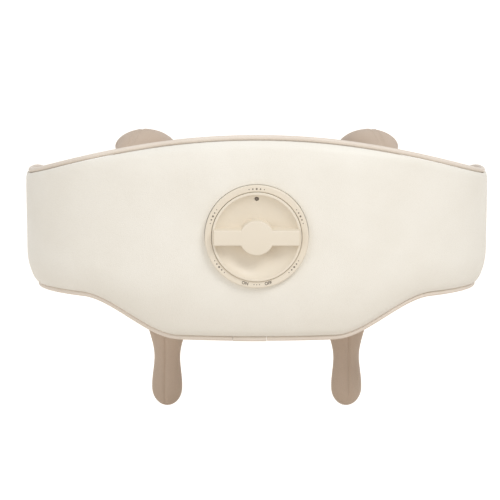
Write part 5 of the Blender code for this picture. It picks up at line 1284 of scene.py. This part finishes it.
def make_print(finishes, prints):
    places = print_points()
    mesh = bpy.data.meshes.new("print_points")
    mesh.from_pydata([place for place, size in places], [], [])
    sizes = mesh.attributes.new("print_radius", "FLOAT", "POINT")
    sizes.data.foreach_set("value", [size for place, size in places])
    values = {"Thickness": PRINT_THICKNESS, "Material": finishes["dark_print"]}
    dots = grown("dial_scale_dots", mesh, prints, values, DIAL, "cushion", smooth_deg=30.0)
    for word, turn_deg in (("ON", -WORD_TURN_DEG), ("OFF", WORD_TURN_DEG)):
        make_word(word, turn_deg, finishes)


def make_word(word, turn_deg, finishes):
    """A word along the lower edge of the bezel, upright as the dial is read."""
    curve = bpy.data.curves.new("word", "FONT")
    curve.body = word
    curve.size = WORD_SIZE
    curve.extrude = PRINT_THICKNESS / 2.0
    curve.offset = WORD_WEIGHT
    curve.align_x = "CENTER"
    curve.align_y = "CENTER"
    mesh = plain_mesh(added("word", curve))
    turn = math.radians(turn_deg)
    middle = (PRINT_RADIUS * math.sin(turn), -PRINT_RADIUS * math.cos(turn), BEZEL_PROUD)
    mesh.transform(DIAL @ Matrix.Translation(middle) @ Matrix.Rotation(turn, 4, "Z"))
    shape = bmesh.new()
    shape.from_mesh(mesh)
    bmesh.ops.remove_doubles(shape, verts=shape.verts, dist=MERGE_DISTANCE)
    bmesh.ops.recalc_face_normals(shape, faces=shape.faces)
    piece = finished("dial_word_" + word.lower(), shape, finishes["dark_print"], "cushion",
                     smooth_deg=20.0)


# Kneading modules

def head_profile():
    """A round head with shallow ribs round it, on its stem."""
    base = DISC_FACE + SEAT_GAP
    stem_low = DISC_FACE - DISC_THICKNESS + SEAT_GAP
    points = [(0.0, stem_low), (HEAD_STEM_RADIUS, stem_low), (HEAD_STEM_RADIUS, base)]
    for step in range(HEAD_STEPS + 1):
        turn = step / HEAD_STEPS * math.pi / 2.0
        faded = math.sin(min(turn * HEAD_RIB_FADE, math.pi / 2.0))
        rib = HEAD_RIB_HEIGHT * max(0.0, math.cos(turn * HEAD_RIB_TURNS)) ** 2 * faded
        radius = (HEAD_RADIUS - HEAD_RIB_HEIGHT + rib) * math.cos(turn)
        height = base + (HEAD_HEIGHT - HEAD_RIB_HEIGHT + rib) * math.sin(turn)
        points.append((0.0 if step == HEAD_STEPS else radius, height))
    return points


def make_module(end, side, finishes):
    module = module_place(side)
    inner = MODULE_OPENING_RADIUS - RING_WALL - SEAT_GAP
    outer = MODULE_OPENING_RADIUS - SEAT_GAP
    lip = MODULE_OPENING_RADIUS + RING_LIP_WIDTH
    seat = BODY_THICKNESS - RING_SINK + SEAT_GAP
    edge = RING_LIP_HEIGHT / 2.0
    low = BODY_THICKNESS - RING_DEPTH
    profile = [(inner, low), (outer, low), (outer, seat), (lip, seat)]
    profile += arc((lip - edge, seat + edge), edge, 0.0, 90.0, EDGE_STEPS)
    profile += [(inner, seat + RING_LIP_HEIGHT)]
    shape = lathe(profile, DIAL_STEPS, module, True)
    dressed("trim_ring_" + end, shape, finishes["carrier_plastic"], "cushion",
            "opening_ring_" + end)
    make_disc(end, module, finishes)
    for number, way in enumerate((1.0, -1.0), 1):
        place = module @ Matrix.Translation((way * HEAD_CIRCLE, 0.0, 0.0))
        shape = lathe(head_profile(), SMALL_STEPS * 2, place)
        dressed("kneading_knob_%s_%d" % (end, number), shape, finishes["silicone"], "rotor_" + end,
                "kneading_head_%s_%d" % (end, number), smooth_deg=60.0)


def make_disc(end, module, finishes):
    back, edge = DISC_FACE - DISC_THICKNESS, DISC_THICKNESS / 3.0
    profile = [(0.0, SHAFT_END), (OUTPUT_SHAFT_RADIUS, SHAFT_END), (OUTPUT_SHAFT_RADIUS, back),
               (DISC_RADIUS, back)]
    profile += arc((DISC_RADIUS - edge, DISC_FACE - edge), edge, 0.0, 90.0, EDGE_STEPS)
    heights = (DISC_FACE, DISC_FACE - edge, DISC_FACE - edge, DISC_FACE)
    profile += [(DISC_RADIUS * share, height) for share, height in zip(DISC_GROOVE_SHARES, heights)]
    profile.append((0.0, DISC_FACE))
    steps = []
    for way in (1.0, -1.0):
        place = module @ Matrix.Translation((way * HEAD_CIRCLE, 0.0, 0.0))
        steps.append(("DIFFERENCE", rod(HEAD_STEM_RADIUS + SEAT_GAP, back - CUT_OVERRUN,
                                        DISC_FACE + CUT_OVERRUN, place)))
    shape = carve(lathe(profile, DIAL_STEPS, module), steps)
    dressed("kneading_plate_" + end, shape, finishes["carrier_plastic"], "rotor_" + end,
            "kneading_disc_" + end)


# The model's own parts, floor, light and camera

def finish_nodes(finishes):
    """Every part that keeps its shape gets the finish of its slot."""
    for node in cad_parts.values():
        if not node.hide_render:
            for socket in node.material_slots:
                socket.material = finishes[plain_name(socket.material)]


def seen_directly(tree):
    """1 for what the camera sees, directly, in a mirror or through glass; otherwise 0."""
    path = wired(tree, "ShaderNodeLightPath", {})
    total = path.outputs["Is Camera Ray"]
    for label in ("Is Glossy Ray", "Is Transmission Ray"):
        both = {0: total, 1: path.outputs[label]}
        total = wired(tree, "ShaderNodeMath", both, operation="MAXIMUM").outputs["Value"]
    return total


def make_floor():
    low, size = CAD_BOX[0].z - FLOOR_DROP, FLOOR_HALF_SIZE
    mesh = bpy.data.meshes.new("studio_floor")
    corners = [(-size, -size, low), (size, -size, low), (size, size, low), (-size, size, low)]
    mesh.from_pydata(corners, [], [(0, 1, 2, 3)])
    finish = Finish("studio_floor", FLOOR_COLOUR, 1.0)
    finish.fix("Specular IOR Level", 0.0)
    strength = finish.node("ShaderNodeMath", {0: seen_directly(finish.tree), 1: FLOOR_GLOW},
                           operation="MULTIPLY")
    glow = finish.node("ShaderNodeEmission",
                       {"Color": WHITE, "Strength": strength.outputs["Value"]})
    both = finish.node("ShaderNodeAddShader",
                       {0: finish.shader.outputs["BSDF"], 1: glow.outputs["Emission"]})
    surface = finish.tree.nodes["Material Output"].inputs["Surface"]
    finish.tree.links.new(both.outputs["Shader"], surface)
    mesh.materials.append(finish.material)
    added("studio_floor", mesh)


def make_world():
    world = bpy.data.worlds.new("studio")
    world.use_nodes = True
    tree = world.node_tree
    light = tree.nodes["Background"].outputs["Background"]
    light.node.inputs["Color"].default_value = WHITE
    light.node.inputs["Strength"].default_value = WORLD_STRENGTH
    white = wired(tree, "ShaderNodeBackground", {"Color": WHITE, "Strength": 1.0})
    either = wired(tree, "ShaderNodeMixShader",
                   {"Fac": seen_directly(tree), 1: light, 2: white.outputs["Background"]})
    tree.links.new(either.outputs["Shader"], tree.nodes["World Output"].inputs["Surface"])
    bpy.context.scene.world = world


def make_lamp(name, place, size, power):
    lamp = bpy.data.lights.new(name, "AREA")
    lamp.shape = "DISK"
    lamp.size = size
    lamp.energy = power
    holder = added(name, lamp)
    holder.location = place
    way = DIAL_CENTRE - Vector(place)
    holder.rotation_euler = way.to_track_quat("-Z", "Y").to_euler()


def make_camera():
    data = bpy.data.cameras.new("photo_camera")
    data.sensor_width = VIEW_SENSOR
    data.lens = VIEW_LENS
    data.shift_x, data.shift_y = VIEW_SHIFT
    camera = added("photo_camera", data)
    back = Vector((0.0, -math.cos(VIEW_ELEVATION), math.sin(VIEW_ELEVATION)))
    camera.location = DIAL_CENTRE + back * VIEW_DISTANCE
    camera.rotation_euler = (-back).to_track_quat("-Z", "Y").to_euler()
    bpy.context.scene.camera = camera


def build():
    make_camera()
    finishes = make_finishes()
    tube, stitches, prints = tube_tree(), stitch_tree(), print_tree()
    make_cover(finishes)
    make_lining(finishes)
    make_piping(finishes, tube)
    make_bezel(finishes)
    make_knob(finishes)
    make_print(finishes, prints)
    for end, side in SIDES.items():
        make_module(end, side, finishes)
        make_arm(end, side, finishes, stitches)
    finish_nodes(finishes)
    make_floor()
    make_world()
    for name, values in LAMPS.items():
        make_lamp(name, *values)
    bpy.context.scene.view_settings.view_transform = "Standard"


build()
